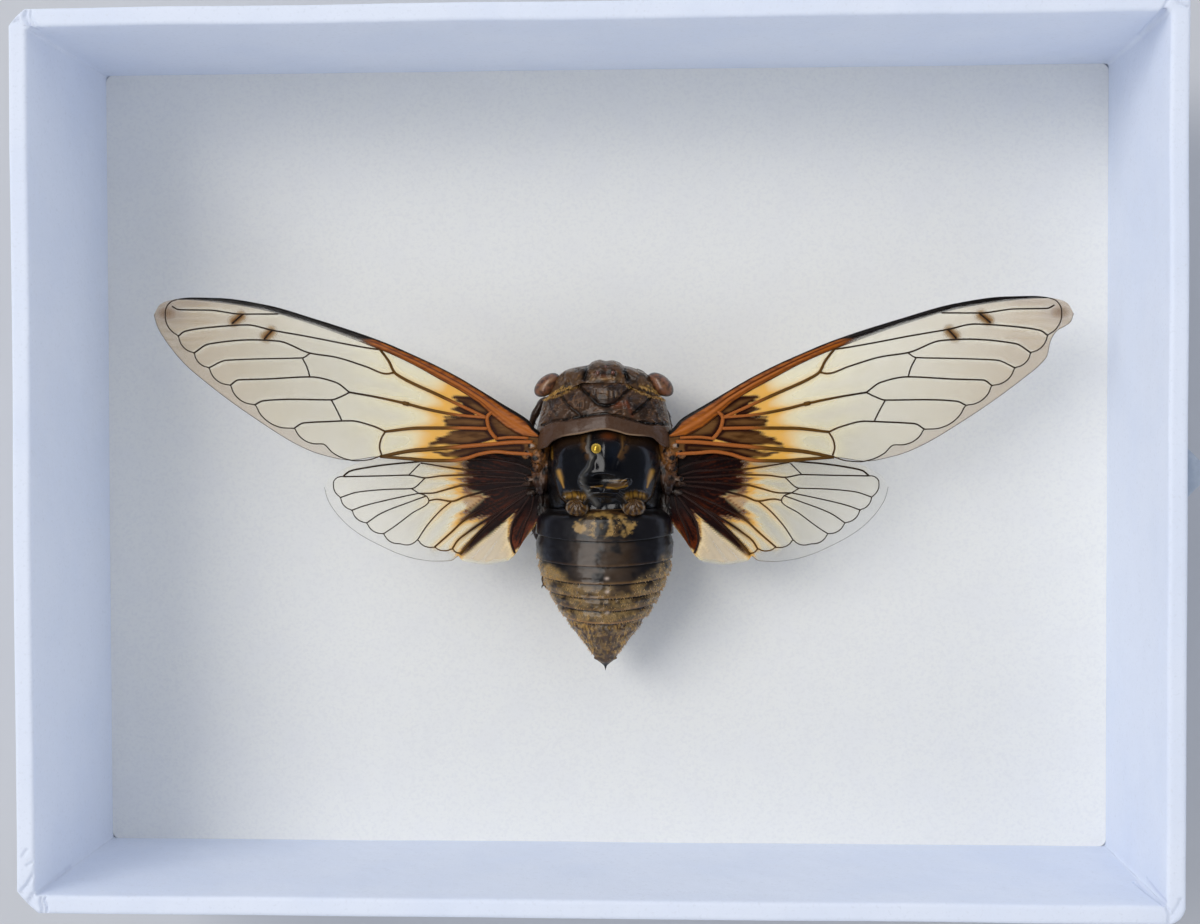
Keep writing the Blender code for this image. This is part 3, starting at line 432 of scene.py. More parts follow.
class InsectSettings(bpy.types.PropertyGroup):
    """The body, legs and pin."""

    brown: colour_property("Brown cuticle", "Colour of the head and first shield", "33241b")
    black: colour_property("Black cuticle", "Colour of the thorax", "0a0b10")
    gold: colour_property("Gold", "Colour of the short golden hairs", "a8792c")
    eye: colour_property("Eye", "Colour of the eyes", "7a4c30")
    hairs: IntProperty(name="Hairs", description="Number of golden hairs", default=5200, min=0, max=20000)
    hair_length: length_property("Hair length", "Length of the golden hairs", 0.42)


class WingSettings(bpy.types.PropertyGroup):
    """Membranes and veins."""

    clear: colour_property("Clear membrane", "Colour of the wings' clear cells", "f0e3b8")
    amber: colour_property("Amber", "Colour of the glow round the basal veins", "f4bb54")
    stain: colour_property("Stain", "Colour of the dark stains", "6a4826")
    fan: colour_property("Hindwing base", "Colour of the hindwings' dark base", "140607")
    thickness: length_property("Membrane thickness", "Thickness of the membranes", 0.06)


class StudioSettings(bpy.types.PropertyGroup):
    """Camera, lights and floor."""

    lens: FloatProperty(name="Lens", description="Focal length", default=51.0, min=1.0, unit="CAMERA")
    floor: colour_property("Floor", "Colour of the floor", "c9ccd2")
    window: FloatProperty(name="Window", description="Power of the window light", default=27.0, unit="POWER")
    sky: FloatProperty(name="Sky", description="Strength of the light from all round", default=0.98, min=0.0)


def add_node(tree, kind, inputs=None, out=0, **settings):
    """Adds a node, sets its inputs or links sockets to them, and returns one of its outputs."""
    node = tree.nodes.new(kind)
    for name, value in settings.items():
        setattr(node, name, value)
    for key, value in (inputs or {}).items():
        if isinstance(value, bpy.types.NodeSocket):
            tree.links.new(value, node.inputs[key])
        else:
            node.inputs[key].default_value = value
    return node.outputs[out]


def start_material(name, **values):
    """A material whose Principled shader has these uniform values. Returns it, its tree and the shader."""
    material = bpy.data.materials.new(name)
    material.use_nodes = True
    shader = material.node_tree.nodes["Principled BSDF"]
    for key, value in values.items():
        shader.inputs[key.replace("_", " ")].default_value = value
    return material, material.node_tree, shader


def grain(tree, size, low=0.0, high=1.0, detail=3.0, stretch=(1.0, 1.0, 1.0), warp=0.0):
    """Noise in patches of a real size in millimetres, spread so that low becomes 0 and high becomes 1."""
    place = add_node(tree, "ShaderNodeTexCoord", out="Object")
    place = add_node(tree, "ShaderNodeMapping", {"Vector": place, "Scale": stretch})
    inputs = {"Vector": place, "Scale": 1 / (size * MM), "Detail": detail, "Distortion": warp}
    value = add_node(tree, "ShaderNodeTexNoise", inputs)
    if (low, high) == (0.0, 1.0):
        return value
    inputs = {"Value": value, "From Min": low, "From Max": high}
    return add_node(tree, "ShaderNodeMapRange", inputs, interpolation_type="SMOOTHSTEP")


def layered(tree, colour, layers):
    """Lays colours over one another. Each layer's mask is a socket or the name of an attribute."""
    for mask, top in layers:
        if isinstance(mask, str):
            mask = add_node(tree, "ShaderNodeAttribute", out="Fac", attribute_name=mask)
        colour = add_node(tree, inputs={0: mask, 6: colour, 7: top}, **COLOUR_MIX)
    return colour


def paint(tree, shader, colour, layers):
    """Gives a surface its layered colour."""
    tree.links.new(layered(tree, colour, layers), shader.inputs["Base Color"])


def emboss(tree, shader, heights):
    """Bumps a surface with several heights, each a socket and its depth in millimetres."""
    normal = None
    for height, depth in heights:
        inputs = {"Height": height, "Distance": depth * MM}
        if normal is not None:
            inputs["Normal"] = normal
        normal = add_node(tree, "ShaderNodeBump", inputs)
    tree.links.new(normal, shader.inputs["Normal"])


def vary_gloss(tree, shader, mask, glossy, dull):
    """Lets a surface's roughness run from glossy to dull with a mask."""
    inputs = {"Value": mask, "To Min": glossy, "To Max": dull}
    tree.links.new(add_node(tree, "ShaderNodeMapRange", inputs), shader.inputs["Roughness"])


def show_by_cover(tree, shader):
    """Lets a surface hide as much of what is below it as the attribute cover says."""
    cover = add_node(tree, "ShaderNodeAttribute", out="Fac", attribute_name="cover")
    tree.links.new(cover, shader.inputs["Alpha"])


def paper_material(settings):
    """White wood-free paper glued over board: matt, with a faint fibre grain, slow waves from the glue, and
    painted shade in its sunken folds.
    """
    material, tree, shader = start_material("glued_white_paper", Roughness=0.62, IOR=1.45)
    cloud = grain(tree, 14.0, 0.35, 0.7)
    speck = grain(tree, 0.5, 0.55, 0.8, 2.0)
    # The crease tint is painted shade along the paper's sunken folds.
    layers = ((cloud, linear("dee7f9")), (speck, linear("dae2f2")), *tints(crease="98a3c6"))
    paint(tree, shader, settings.paper[:], layers)
    fibre = grain(tree, 0.22, detail=4.0, stretch=(1.0, 0.45, 0.7))
    emboss(tree, shader, ((grain(tree, 9.0), 0.5), (fibre, 0.035)))
    return material


def foam_material(settings):
    """Closed-cell polyethylene foam, sliced: dull white, pitted by the cut cells, softly clouded."""
    material, tree, shader = start_material("sliced_foam", Roughness=0.88, IOR=1.4)
    cell = settings.foam_cell / MM
    pits = grain(tree, cell, 0.42, 0.72, 2.0)
    cloud = grain(tree, 6.0, 0.4, 0.75)
    paint(tree, shader, settings.foam[:], ((cloud, linear("eeefef")), (pits, linear("ebecec"))))
    emboss(tree, shader, ((grain(tree, cell, detail=2.0), 0.022), (grain(tree, cell * 4), 0.03)))
    return material


def board_material(settings):
    """Grey board, die cut: matt, with a felted surface."""
    material, tree, shader = start_material("die_cut_board", Roughness=0.7)
    paint(tree, shader, settings.board[:], ((grain(tree, 1.2, 0.4, 0.7), linear("b6c2d2")),))
    emboss(tree, shader, ((grain(tree, 0.3, detail=4.0), 0.04),))
    return material


def metal_material(name, colour, dull, roughness, metallic=1.0):
    """Drawn wire or a pressed head: bright, with dull patches from handling."""
    material, tree, shader = start_material(name, Metallic=metallic)
    patches = grain(tree, 0.35, 0.4, 0.7)
    paint(tree, shader, linear(colour), ((patches, linear(dull)),))
    vary_gloss(tree, shader, patches, roughness, roughness + HANDLED_DULLNESS)
    emboss(tree, shader, ((grain(tree, 0.12), 0.008),))
    return material


def cuticle_material(name, colour, layers, roughness, wrinkle, coat=0.0, mottle=("3a2a20", 0.9)):
    """Insect cuticle, hardened as it grew and then dried: a varnished look over a wrinkled, pitted wall.

    layers are painted over the colour by attribute. roughness is (smooth, rough), and wrinkle holds
    (size, depth) of the creases in millimetres.
    """
    material, tree, shader = start_material(
        name, IOR=1.5, Specular_IOR_Level=0.2, Coat_Weight=coat, Coat_Roughness=0.14, Coat_IOR=1.42
    )
    code, size = mottle
    mottling = grain(tree, size, 0.45, 0.7, 4.0, warp=0.6)
    paint(tree, shader, colour, ((mottling, linear(code)), *layers))
    patches = grain(tree, 1.1, 0.35, 0.7)
    vary_gloss(tree, shader, patches, *roughness)
    creases = grain(tree, wrinkle[0], detail=4.0, warp=1.2)
    emboss(tree, shader, ((creases, wrinkle[1]), (grain(tree, 0.14, detail=2.0), 0.012)))
    return material


def eye_material(settings):
    """A compound eye, dried: a brown shell of fine facets, glossy, with a paler band that is painted
    highlight, and painted shade towards its underside.
    """
    material, tree, shader = start_material(
        "dried_compound_eye", IOR=1.5, Coat_Weight=0.4, Coat_Roughness=0.15
    )
    blotches = grain(tree, 0.6, 0.42, 0.65)
    layers = ((blotches, linear("44281a")), *tints(band="8e6a48", edge="120a07"))
    paint(tree, shader, settings.eye[:], layers)
    vary_gloss(tree, shader, grain(tree, 0.5), 0.22, 0.45)
    place = add_node(tree, "ShaderNodeTexCoord", out="Object")
    facets = add_node(tree, "ShaderNodeTexVoronoi", {"Vector": place, "Scale": 1 / (0.16 * MM)})
    emboss(tree, shader, ((facets, 0.02),))
    return material


def ocellus_material():
    """An ocellus, dried: a clear amber bead."""
    material, tree, shader = start_material(
        "dried_ocellus", Roughness=0.12, IOR=1.5, Coat_Weight=0.8, Subsurface_Weight=0.2
    )
    paint(tree, shader, linear("5c2a1c"), ((grain(tree, 0.3, 0.4, 0.7), linear("8a5a46")),))
    return material


def hair_material(settings):
    """Pubescence: short golden bristles with a silky gloss."""
    material, tree, shader = start_material("golden_pubescence", Roughness=0.4, IOR=1.55, Sheen_Weight=0.3)
    paint(tree, shader, settings.gold[:], ((grain(tree, 0.8, 0.35, 0.6), linear("dca94a")),))
    return material


def membrane_material(name, settings, layers, wrinkle):
    """Wing membrane, a double sheet of cuticle as thin as film: see-through, wrinkled, with a satin gloss."""
    material, tree, shader = start_material(name, Roughness=0.3, IOR=1.4, Specular_IOR_Level=0.08)
    cloud = grain(tree, 2.5, 0.35, 0.7)
    streaks = grain(tree, 0.9, 0.42, 0.66, 4.0, stretch=(0.22, 1.0, 1.0))
    dusky = layered(tree, settings.stain[:], ((streaks, linear("46290f")),))
    layers = [(mask, dusky if mask == "stain" else colour) for mask, colour in layers]
    paint(tree, shader, settings.clear[:], ((cloud, linear("e9daa6")), *layers))
    show_by_cover(tree, shader)
    emboss(tree, shader, ((grain(tree, wrinkle, detail=3.0, stretch=(0.35, 1.0, 1.0)), 0.10),))
    return material


def vein_material():
    """Wing vein, a tube of thick cuticle: orange at the root, olive to black brown further out."""
    material, tree, shader = start_material("wing_vein_cuticle", IOR=1.5, Specular_IOR_Level=0.12)
    streak = grain(tree, 0.5, 0.45, 0.7)
    along = tints(middle="5e3e0e", root="a25c28", shade="24110b", grey="4b3a38")
    paint(tree, shader, linear("281d12"), ((streak, linear("38281a")), *along))
    vary_gloss(tree, shader, streak, 0.3, 0.5)
    emboss(tree, shader, ((streak, 0.02),))
    return material


def costa_material():
    """The wing's thick front edge: several veins side by side, rust brown with a black outer line."""
    material, tree, shader = start_material("costal_cuticle", IOR=1.5, Specular_IOR_Level=0.14)
    fine = grain(tree, 0.5, 0.4, 0.7, stretch=(0.3, 1.0, 1.0))
    bands = tints(lit="a65c1c", stripe="42190a", outer="2a2018", black="0d0807")
    paint(tree, shader, linear("a05614"), ((fine, linear("6e3612")), *bands))
    vary_gloss(tree, shader, fine, 0.28, 0.45)
    show_by_cover(tree, shader)
    emboss(tree, shader, ((fine, 0.03),))
    return material


def ease(value):
    """0 below 0, 1 above 1, and a smooth rise between."""
    t = np.clip(value, 0.0, 1.0)
    return t * t * (3 - 2 * t)


def peak(value, width):
    """1 where a value is 0, fading smoothly to 0 on both sides of it."""
    return np.exp(-((value / width) ** 2))


def spot(x, y, at, width, length):
    """1 at a place, falling smoothly to 0 around it."""
    return np.exp(-(((x - at[0]) / width) ** 2) - ((y - at[1]) / length) ** 2)


def distance_to(x, y, line):
    """How far each place is from a line of points."""
    nearest = np.full(np.shape(x), 1e9)
    for (ax, ay), (bx, by) in zip(line, line[1:]):
        dx, dy = bx - ax, by - ay
        along = np.clip(((x - ax) * dx + (y - ay) * dy) / (dx * dx + dy * dy), 0, 1)
        nearest = np.minimum(nearest, np.hypot(x - ax - along * dx, y - ay - along * dy))
    return nearest


def ridge(x, y, line, width):
    """1 on a line, fading to 0 beside it."""
    return peak(distance_to(x, y, line), width)


def depth_inside(x, y, outline):
    """How far each place lies inside a closed outline, below 0 outside it."""
    closed = (*outline, outline[0])
    inside = np.zeros(np.shape(x), bool)
    for (ax, ay), (bx, by) in zip(closed, closed[1:]):
        if ay != by:
            inside ^= ((ay > y) != (by > y)) & (x < (bx - ax) * (y - ay) / (by - ay) + ax)
    return np.where(inside, 1, -1) * distance_to(x, y, closed)


def curve_through(places, values, at):
    """A smooth curve through values at rising places, read at other places. It never overshoots."""
    places, values, at = (np.asarray(item, float) for item in (places, values, at))
    slopes = np.diff(values, axis=0) / np.diff(places)[:, None]
    before, after = slopes[:-1], slopes[1:]
    rising = before * after > 0
    inner = np.where(rising, 2 * before * after / np.where(rising, before + after, 1), 0)
    tangents = np.vstack([slopes[:1], inner, slopes[-1:]])
    i = np.clip(np.searchsorted(places, at, side="right") - 1, 0, len(places) - 2)
    step = (places[i + 1] - places[i])[:, None]
    t = (at - places[i])[:, None] / step
    return (
        values[i] * (1 + 2 * t) * (1 - t) ** 2 + tangents[i] * step * t * (1 - t) ** 2
        + values[i + 1] * t * t * (3 - 2 * t) + tangents[i + 1] * step * t * t * (t - 1)
    )  # fmt: skip


def along_line(points, shares):
    """Places at these shares of the length of a smooth line through the points."""
    points = np.asarray(points, float)
    lengths = np.concatenate([[0], np.cumsum(np.linalg.norm(np.diff(points[:, :3], axis=0), axis=1))])
    return curve_through(lengths, points, np.asarray(shares) * lengths[-1])


def scallops(ends):
    """A line through the ends of a wing's veins that bulges outwards between each two of them."""
    points = []
    for start, end in zip(np.array(ends[:-1]), np.array(ends[1:])):
        across_it = (end - start)[::-1] * (-1, 1)
        bulge = (start + end) / 2 + 0.34 * across_it
        for t in np.linspace(0, 1, 6)[:-1]:
            points.append(tuple(start * (1 - t) ** 2 + 2 * bulge * t * (1 - t) + end * t * t))
    return (*points, ends[-1])


def rough(points, size, octaves=3, sharp=False):
    """Fractal noise at each point, about 0, for lumps of one size in millimetres."""
    values = []
    for point in points:
        place = Vector(point) / size
        if sharp:
            values.append(noise.ridged_multi_fractal(place, 1.0, 2.0, octaves, 1.0, 2.0) - 1.0)
        else:
            values.append(noise.fractal(place, 1.0, 2.0, octaves))
    return np.array(values)


def places_of(bm):
    """A shape's points as an array, one row each."""
    return np.array([vert.co for vert in bm.verts])


def move_to(bm, places):
    """Moves a shape's points to the rows of an array."""
    for vert, place in zip(bm.verts, places):
        vert.co = place


def merge_doubles(bm, distance=1e-5):
    bmesh.ops.remove_doubles(bm, verts=bm.verts, dist=distance)


def face_outwards(bm):
    bmesh.ops.recalc_face_normals(bm, faces=bm.faces)


def thicken(bm, thickness):
    """Gives an open sheet its thickness, once its faces all point one way."""
    merge_doubles(bm, 1e-3)
    face_outwards(bm)
    bmesh.ops.solidify(bm, geom=bm.faces[:], thickness=thickness)


def add_lump(bm, centre, sizes, steps):
    """Adds a ball, stretched to three half sizes, to a shape."""
    place = Matrix.Translation(centre) @ Matrix.Diagonal((*sizes, 1))
    bmesh.ops.create_uvsphere(bm, u_segments=steps[0], v_segments=steps[1], radius=1.0, matrix=place)


def body_axis():
    """Where the insect's body axis stands in the box, worked out from the pin's head."""
    low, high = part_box("pin_head")
    return (low + high) / 2 / MM - PIN_PLACE


def add_piece(name, bm, material, stands_for=(), marks=None, offset=None, smooth=True):
    """Turns a shape in millimetres into a finished piece in metres, with its marks as attributes."""
    if offset is not None:
        bmesh.ops.translate(bm, vec=offset, verts=bm.verts)
    bmesh.ops.scale(bm, vec=(MM, MM, MM), verts=bm.verts)
    mesh = bpy.data.meshes.new(name)
    bm.to_mesh(mesh)
    bm.free()
    for key, values in (marks or {}).items():
        attribute = mesh.attributes.new(key, "FLOAT", "POINT")
        attribute.data.foreach_set("value", np.clip(values, 0, 1).astype(np.float32))
    if smooth:
        mesh.shade_smooth()
    mesh.materials.append(material)
    obj = bpy.data.objects.new(name, mesh)
    bpy.context.scene.collection.objects.link(obj)
    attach(obj, "root")
    if stands_for:
        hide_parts(*stands_for)
    return obj


def bars_along(lines, resolution=1):
    """Round bars with closed ends along lines of (x, y, z, radius), as one shape."""
    curve = bpy.data.curves.new("route", "CURVE")
    curve.dimensions = "3D"
    curve.bevel_depth = 1.0
    curve.bevel_resolution = resolution
    curve.use_fill_caps = True
    for line in lines:
        spline = curve.splines.new("POLY")
        spline.points.add(len(line) - 1)
        for target, (x, y, z, radius) in zip(spline.points, line):
            target.co = (x, y, z, 1.0)
            target.radius = radius
    route = bpy.data.objects.new("route", curve)
    mesh = bpy.data.meshes.new_from_object(route)
    bm = bmesh.new()
    bm.from_mesh(mesh)
    merge_doubles(bm)
    face_outwards(bm)
    bpy.data.objects.remove(route)
    bpy.data.curves.remove(curve)
    bpy.data.meshes.remove(mesh)
    return bm


def box_outline(half_length, half_width, inset, rounding, knock):
    """Points round the box at one inset from its outer walls, close together near the corners."""
    half = (half_length - inset, half_width - inset)
    points = []
    for (sx, sy, outer, cut), (nx, ny, next_outer, _) in zip(BOX_CORNERS, BOX_CORNERS[1:] + BOX_CORNERS[:1]):
        radius = rounding(outer)
        centre = np.array([sx * (half[0] - radius), sy * (half[1] - radius)])
        start = math.atan2(sy, sx) - math.pi / 4
        turn = np.linspace(start, start + math.pi / 2, 9)
        arc = np.column_stack([np.cos(turn), np.sin(turn)])
        points.extend(centre + radius * (arc + cut * knock * (np.linspace(arc[0], arc[-1], 9) - arc)))
        here = points[-1]
        following = rounding(next_outer)
        way = np.array([(nx - sx) / 2, (ny - sy) / 2])
        run = 2 * half[0 if way[0] else 1] - radius - following
        fine = np.arange(1, CORNER_ZONE / CORNER_STEP) * CORNER_STEP
        middle = np.linspace(CORNER_ZONE, run - CORNER_ZONE, 14)
        for along in (*fine, *middle, *(run - fine[::-1])):
            points.append(here + way * along)
    return np.array(points + points[:1])


def box_profile(height, wall, base, rim_round):
    """(inset, z) from the edge of the underside, up the outer wall, over the rim and down inside."""
    turn = np.linspace(0, math.pi / 2, 5)
    outer_rim = [(rim_round * (1 - math.cos(a)), height - rim_round * (1 - math.sin(a))) for a in turn]
    inner_rim = [(wall - inset, z) for inset, z in reversed(outer_rim)]
    foot = [(rim_round * (1 - math.sin(a)), rim_round * (1 - math.cos(a))) for a in turn]
    rows = foot + [(0.0, z) for z in np.linspace(2.0, height - 1.5, 22)] + outer_rim
    rows += [(inset, height) for inset in np.linspace(rim_round + 0.2, wall - rim_round - 0.2, 7)]
    rows += inner_rim + [(wall, z) for z in np.linspace(height - 0.9, height - 15, 40)]
    return rows + [(wall, z) for z in np.linspace(height - 16.5, base, 14)]


def distance_in_space(points, line):
    """How far each point is from a line of points in space."""
    nearest = np.full(len(points), 1e9)
    for a, b in zip(np.array(line[:-1]), np.array(line[1:])):
        along = np.clip((points - a) @ (b - a) / ((b - a) @ (b - a)), 0, 1)
        nearest = np.minimum(nearest, np.linalg.norm(points - a - along[:, None] * (b - a), axis=1))
    return nearest


def fold_depths(points):
    """How far the paper's folds raise or sink each point."""
    return sum(depth * peak(distance_in_space(points, line), width) for width, depth, line in FOLDS)


def make_tray(settings):
    """Board covered with white paper: one wrapped sheet whose corners are folded, creased and knocked."""
    low, high = (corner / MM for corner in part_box("tray"))
    half = ((high.x - low.x) / 2, (high.y - low.y) / 2)
    wall = settings.wall / MM
    profile = box_profile(high.z, wall, settings.base / MM, settings.rim_round / MM)

    def ring(inset, z):
        """One closed row of points. The corners are knocked at the rim and sharper at the foot."""
        share = inset / wall
        knock = ease(z / high.z * 1.6 - 0.6)

        def rounding(outer):
            return (1 - share) * (FOOT_ROUND + (outer - FOOT_ROUND) * knock) + share * INNER_ROUND

        flat = box_outline(*half, inset, rounding, knock)
        return np.column_stack([flat, np.full(len(flat), z)])

    rings = [ring(inset, z) for inset, z in profile]
    around = len(rings[0])
    bm = bmesh.new()
    bmesh.ops.create_grid(bm, x_segments=around - 1, y_segments=len(rings) - 1, size=1.0)
    unit = (places_of(bm) + 1) / 2
    column = np.rint(unit[:, 0] * (around - 1)).astype(int)
    row = np.rint(unit[:, 1] * (len(rings) - 1)).astype(int)
    points = np.array(rings)[row, column]
    inset = np.array([inset for inset, _ in profile])[row]
    # Which way is out: along x on the two short walls, along y on the two long ones
    side_x = half[0] - np.abs(points[:, 0]) < half[1] - np.abs(points[:, 1])
    signs = np.sign(points[:, :2])
    out = np.column_stack([np.where(side_x, signs[:, 0], 0), np.where(side_x, 0, signs[:, 1])])
    on_rim = ease((points[:, 2] - high.z + 0.3) / 0.25)
    inside_wall = ease((inset - wall * 0.5) / (wall * 0.4)) * (1 - on_rim)
    push = fold_depths(points)
    # Slow waves from the glue
    wave = rough(points * (1, 1, 0.5), 28.0, 2)
    points[:, 2] += on_rim * (1.6 * np.minimum(push, 0.0) + 0.5 * np.maximum(push, 0.0) - 0.06 * (1 + wave))
    points[:, :2] -= out * (1.4 * inside_wall * push)[:, None]
    points[:, :2] -= out * (0.15 * (1 + wave) * ease(points[:, 2] / 20))[:, None]
    points[:, 2] = np.minimum(points[:, 2], high.z)
    move_to(bm, points)
    merge_doubles(bm, 1e-4)
    for z in (0.0, profile[-1][1]):
        edges = [edge for edge in bm.edges if edge.is_boundary and abs(edge.verts[0].co.z - z) < 1e-3]
        bmesh.ops.edgeloop_fill(bm, edges=edges)
    face_outwards(bm)
    # Painted shade: the deeper a fold sinks, the darker it is painted; raised folds get none.
    marks = {"crease": -1.8 * fold_depths(places_of(bm))}
    add_piece("paper_covered_tray", bm, paper_material(settings), ("tray",), marks)


def rounded_pad(low, high, corner, edge):
    """A block with round upright corners and a round top edge."""
    bm = bmesh.new()
    bmesh.ops.create_cube(bm, size=1.0)
    bmesh.ops.scale(bm, vec=high - low, verts=bm.verts)
    bmesh.ops.translate(bm, vec=(low + high) / 2, verts=bm.verts)
    upright = [e for e in bm.edges if abs(e.verts[0].co.z - e.verts[1].co.z) > 1]
    bmesh.ops.bevel(bm, geom=upright, offset=corner, segments=6, profile=0.5, affect="EDGES", material=-1)
    rim = [e for e in bm.edges if min(v.co.z for v in e.verts) > high.z - 1e-3]
    bmesh.ops.bevel(bm, geom=rim, offset=edge, segments=4, profile=0.5, affect="EDGES", material=-1)
    return bm


def make_foam(settings):
    """The foam pad, pressed a little into the paper on its four sides."""
    low, high = (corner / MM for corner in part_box("foam_pad"))
    squeeze = Vector((FOAM_SQUEEZE, FOAM_SQUEEZE, 0.0))
    bm = rounded_pad(low - squeeze, high + squeeze, settings.foam_corner / MM, settings.foam_round / MM)
    face_outwards(bm)
    add_piece("foam_sheet", bm, foam_material(settings), ("foam_pad",), smooth=False)


def make_tab(settings):
    """A half octagon of board, rounded along its upper edge by handling."""
    low, high = (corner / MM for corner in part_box("pull_tab"))
    reach = high.x - low.x
    slope = reach - TAB_CHAMFER
    upper = ((reach, reach), (slope, slope), (0.0, 0.0))
    corners = [(low.x + out, low.y + up) for out, up in reversed(upper)]
    corners += [(low.x + out, high.y - up) for out, up in upper]
    bm = bmesh.new()
    face = bm.faces.new([bm.verts.new((x, y, high.z)) for x, y in corners])
    moved = bmesh.ops.extrude_face_region(bm, geom=[face], use_keep_orig=True)["geom"]
    lower = [item for item in moved if isinstance(item, bmesh.types.BMVert)]
    bmesh.ops.translate(bm, vec=(0, 0, low.z - high.z), verts=lower)
    outer = [e for e in bm.edges if max(v.co.x for v in e.verts) > low.x + 0.1]
    bmesh.ops.bevel(bm, geom=outer, offset=TAB_ROUND, segments=3, profile=0.5, affect="EDGES", material=-1)
    face_outwards(bm)
    add_piece("board_tab", bm, board_material(settings), ("pull_tab",), smooth=False)


def spun(profile, steps=32):
    """A turned shape from (radius, z) points whose first and last lie on the axis."""
    bm = bmesh.new()
    verts = [bm.verts.new((radius, 0, z)) for radius, z in profile]
    edges = [bm.edges.new(pair) for pair in zip(verts, verts[1:])]
    bmesh.ops.spin(
        bm, geom=verts + edges, cent=(0, 0, 0), axis=(0, 0, 1), angle=2 * math.pi, steps=steps,
        use_merge=True,
    )  # fmt: skip
    merge_doubles(bm)
    face_outwards(bm)
    return bm


def make_pin():
    """The pin: a steel wire with a ground point, and the brass ball that is pressed on it."""
    low, high = (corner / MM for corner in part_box("pin_shaft"))
    middle = (low + high) / 2
    radius = (high.x - low.x) / 2
    point = ((0, low.z), (radius * 0.25, low.z + 0.5), (radius, low.z + PIN_POINT))
    shaft = spun((*point, (radius, high.z + PIN_SEAT), (0, high.z + PIN_SEAT)))
    steel = metal_material("drawn_steel_wire", "b9b6ae", "8f8a80", 0.25)
    add_piece("pin_wire", shaft, steel, ("pin_shaft",), offset=(middle.x, middle.y, 0))
    low, high = (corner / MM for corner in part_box("pin_head"))
    ball = bmesh.new()
    bmesh.ops.create_uvsphere(ball, u_segments=40, v_segments=24, radius=(high.z - low.z) / 2)
    places = places_of(ball)
    dent = spot(places[:, 0], places[:, 1], (0.22, -0.18), 0.18, 0.16)
    places[:, 2] -= 0.12 * dent * (places[:, 2] > 0)
    move_to(ball, places)
    brass = metal_material("lacquered_brass", "e6bf48", "a8842c", 0.18, 0.7)
    add_piece("pin_ball", ball, brass, ("pin_head",), offset=(low + high) / 2)


def power_curve(value, power):
    """Makes a sine or cosine fuller, so that a round outline turns squarer."""
    return np.copysign(np.abs(value) ** (2 / power), value)


def across(line, x):
    """The height of a line that runs from left to right, at each x."""
    line = np.array(line)
    return curve_through(line[:, 0], line[:, 1:], np.clip(x, line[0, 0], line[-1, 0]))[:, 0]


def neck(x):
    """The line where head and first shield meet."""
    return NECK_Y - NECK_SLOPE * np.maximum(0.0, np.abs(x) - NECK_SLOPE_START)


def formed_ball(around, rows, place):
    """A closed form whose points are moved to place(share of the way from its front pole, angle)."""
    bm = bmesh.new()
    bmesh.ops.create_grid(bm, x_segments=around, y_segments=rows, size=1.0)
    angle, polar = ((places_of(bm)[:, :2] + 1) * (math.pi, math.pi / 2)).T
    ball = np.column_stack([np.sin(polar) * np.cos(angle), np.sin(polar) * np.sin(angle), np.cos(polar)])
    move_to(bm, ball)
    merge_doubles(bm)
    unit = places_of(bm)
    share = np.arccos(np.clip(unit[:, 2], -1, 1)) / math.pi
    points, marks = place(share, np.arctan2(unit[:, 1], unit[:, 0]))
    move_to(bm, points)
    face_outwards(bm)
    return bm, marks


def segment_form(rows, half_width, front, back, power, surface, size):
    """One segment of the body, with surface(x, y, z) giving its relief and its marks."""
    rows = np.array(rows, float)
    rows[:, 1] *= half_width

    def place(share, angle):
        row = curve_through(np.arange(len(rows)), rows, share * (len(rows) - 1))
        x = row[:, 1] * power_curve(np.cos(angle), power)
        up = power_curve(np.sin(angle), power)
        y = front(x) + (back(x) - front(x)) * row[:, 0]
        z = up * np.where(up > 0, row[:, 2], row[:, 3])
        top = ease(up * 1.6) * ease((row[:, 2] - 1.5) / 1.5)
        relief, marks = surface(x, y, z)
        # Relief lifts the top, and thins to nothing where the ring turns under
        normal = np.column_stack([x / half_width * 0.5, 0 * x, np.ones(len(x))])
        normal /= np.linalg.norm(normal, axis=1)[:, None]
        return np.column_stack([x, y, z]) + normal * (relief * top)[:, None], marks

    return formed_ball(*size, place)


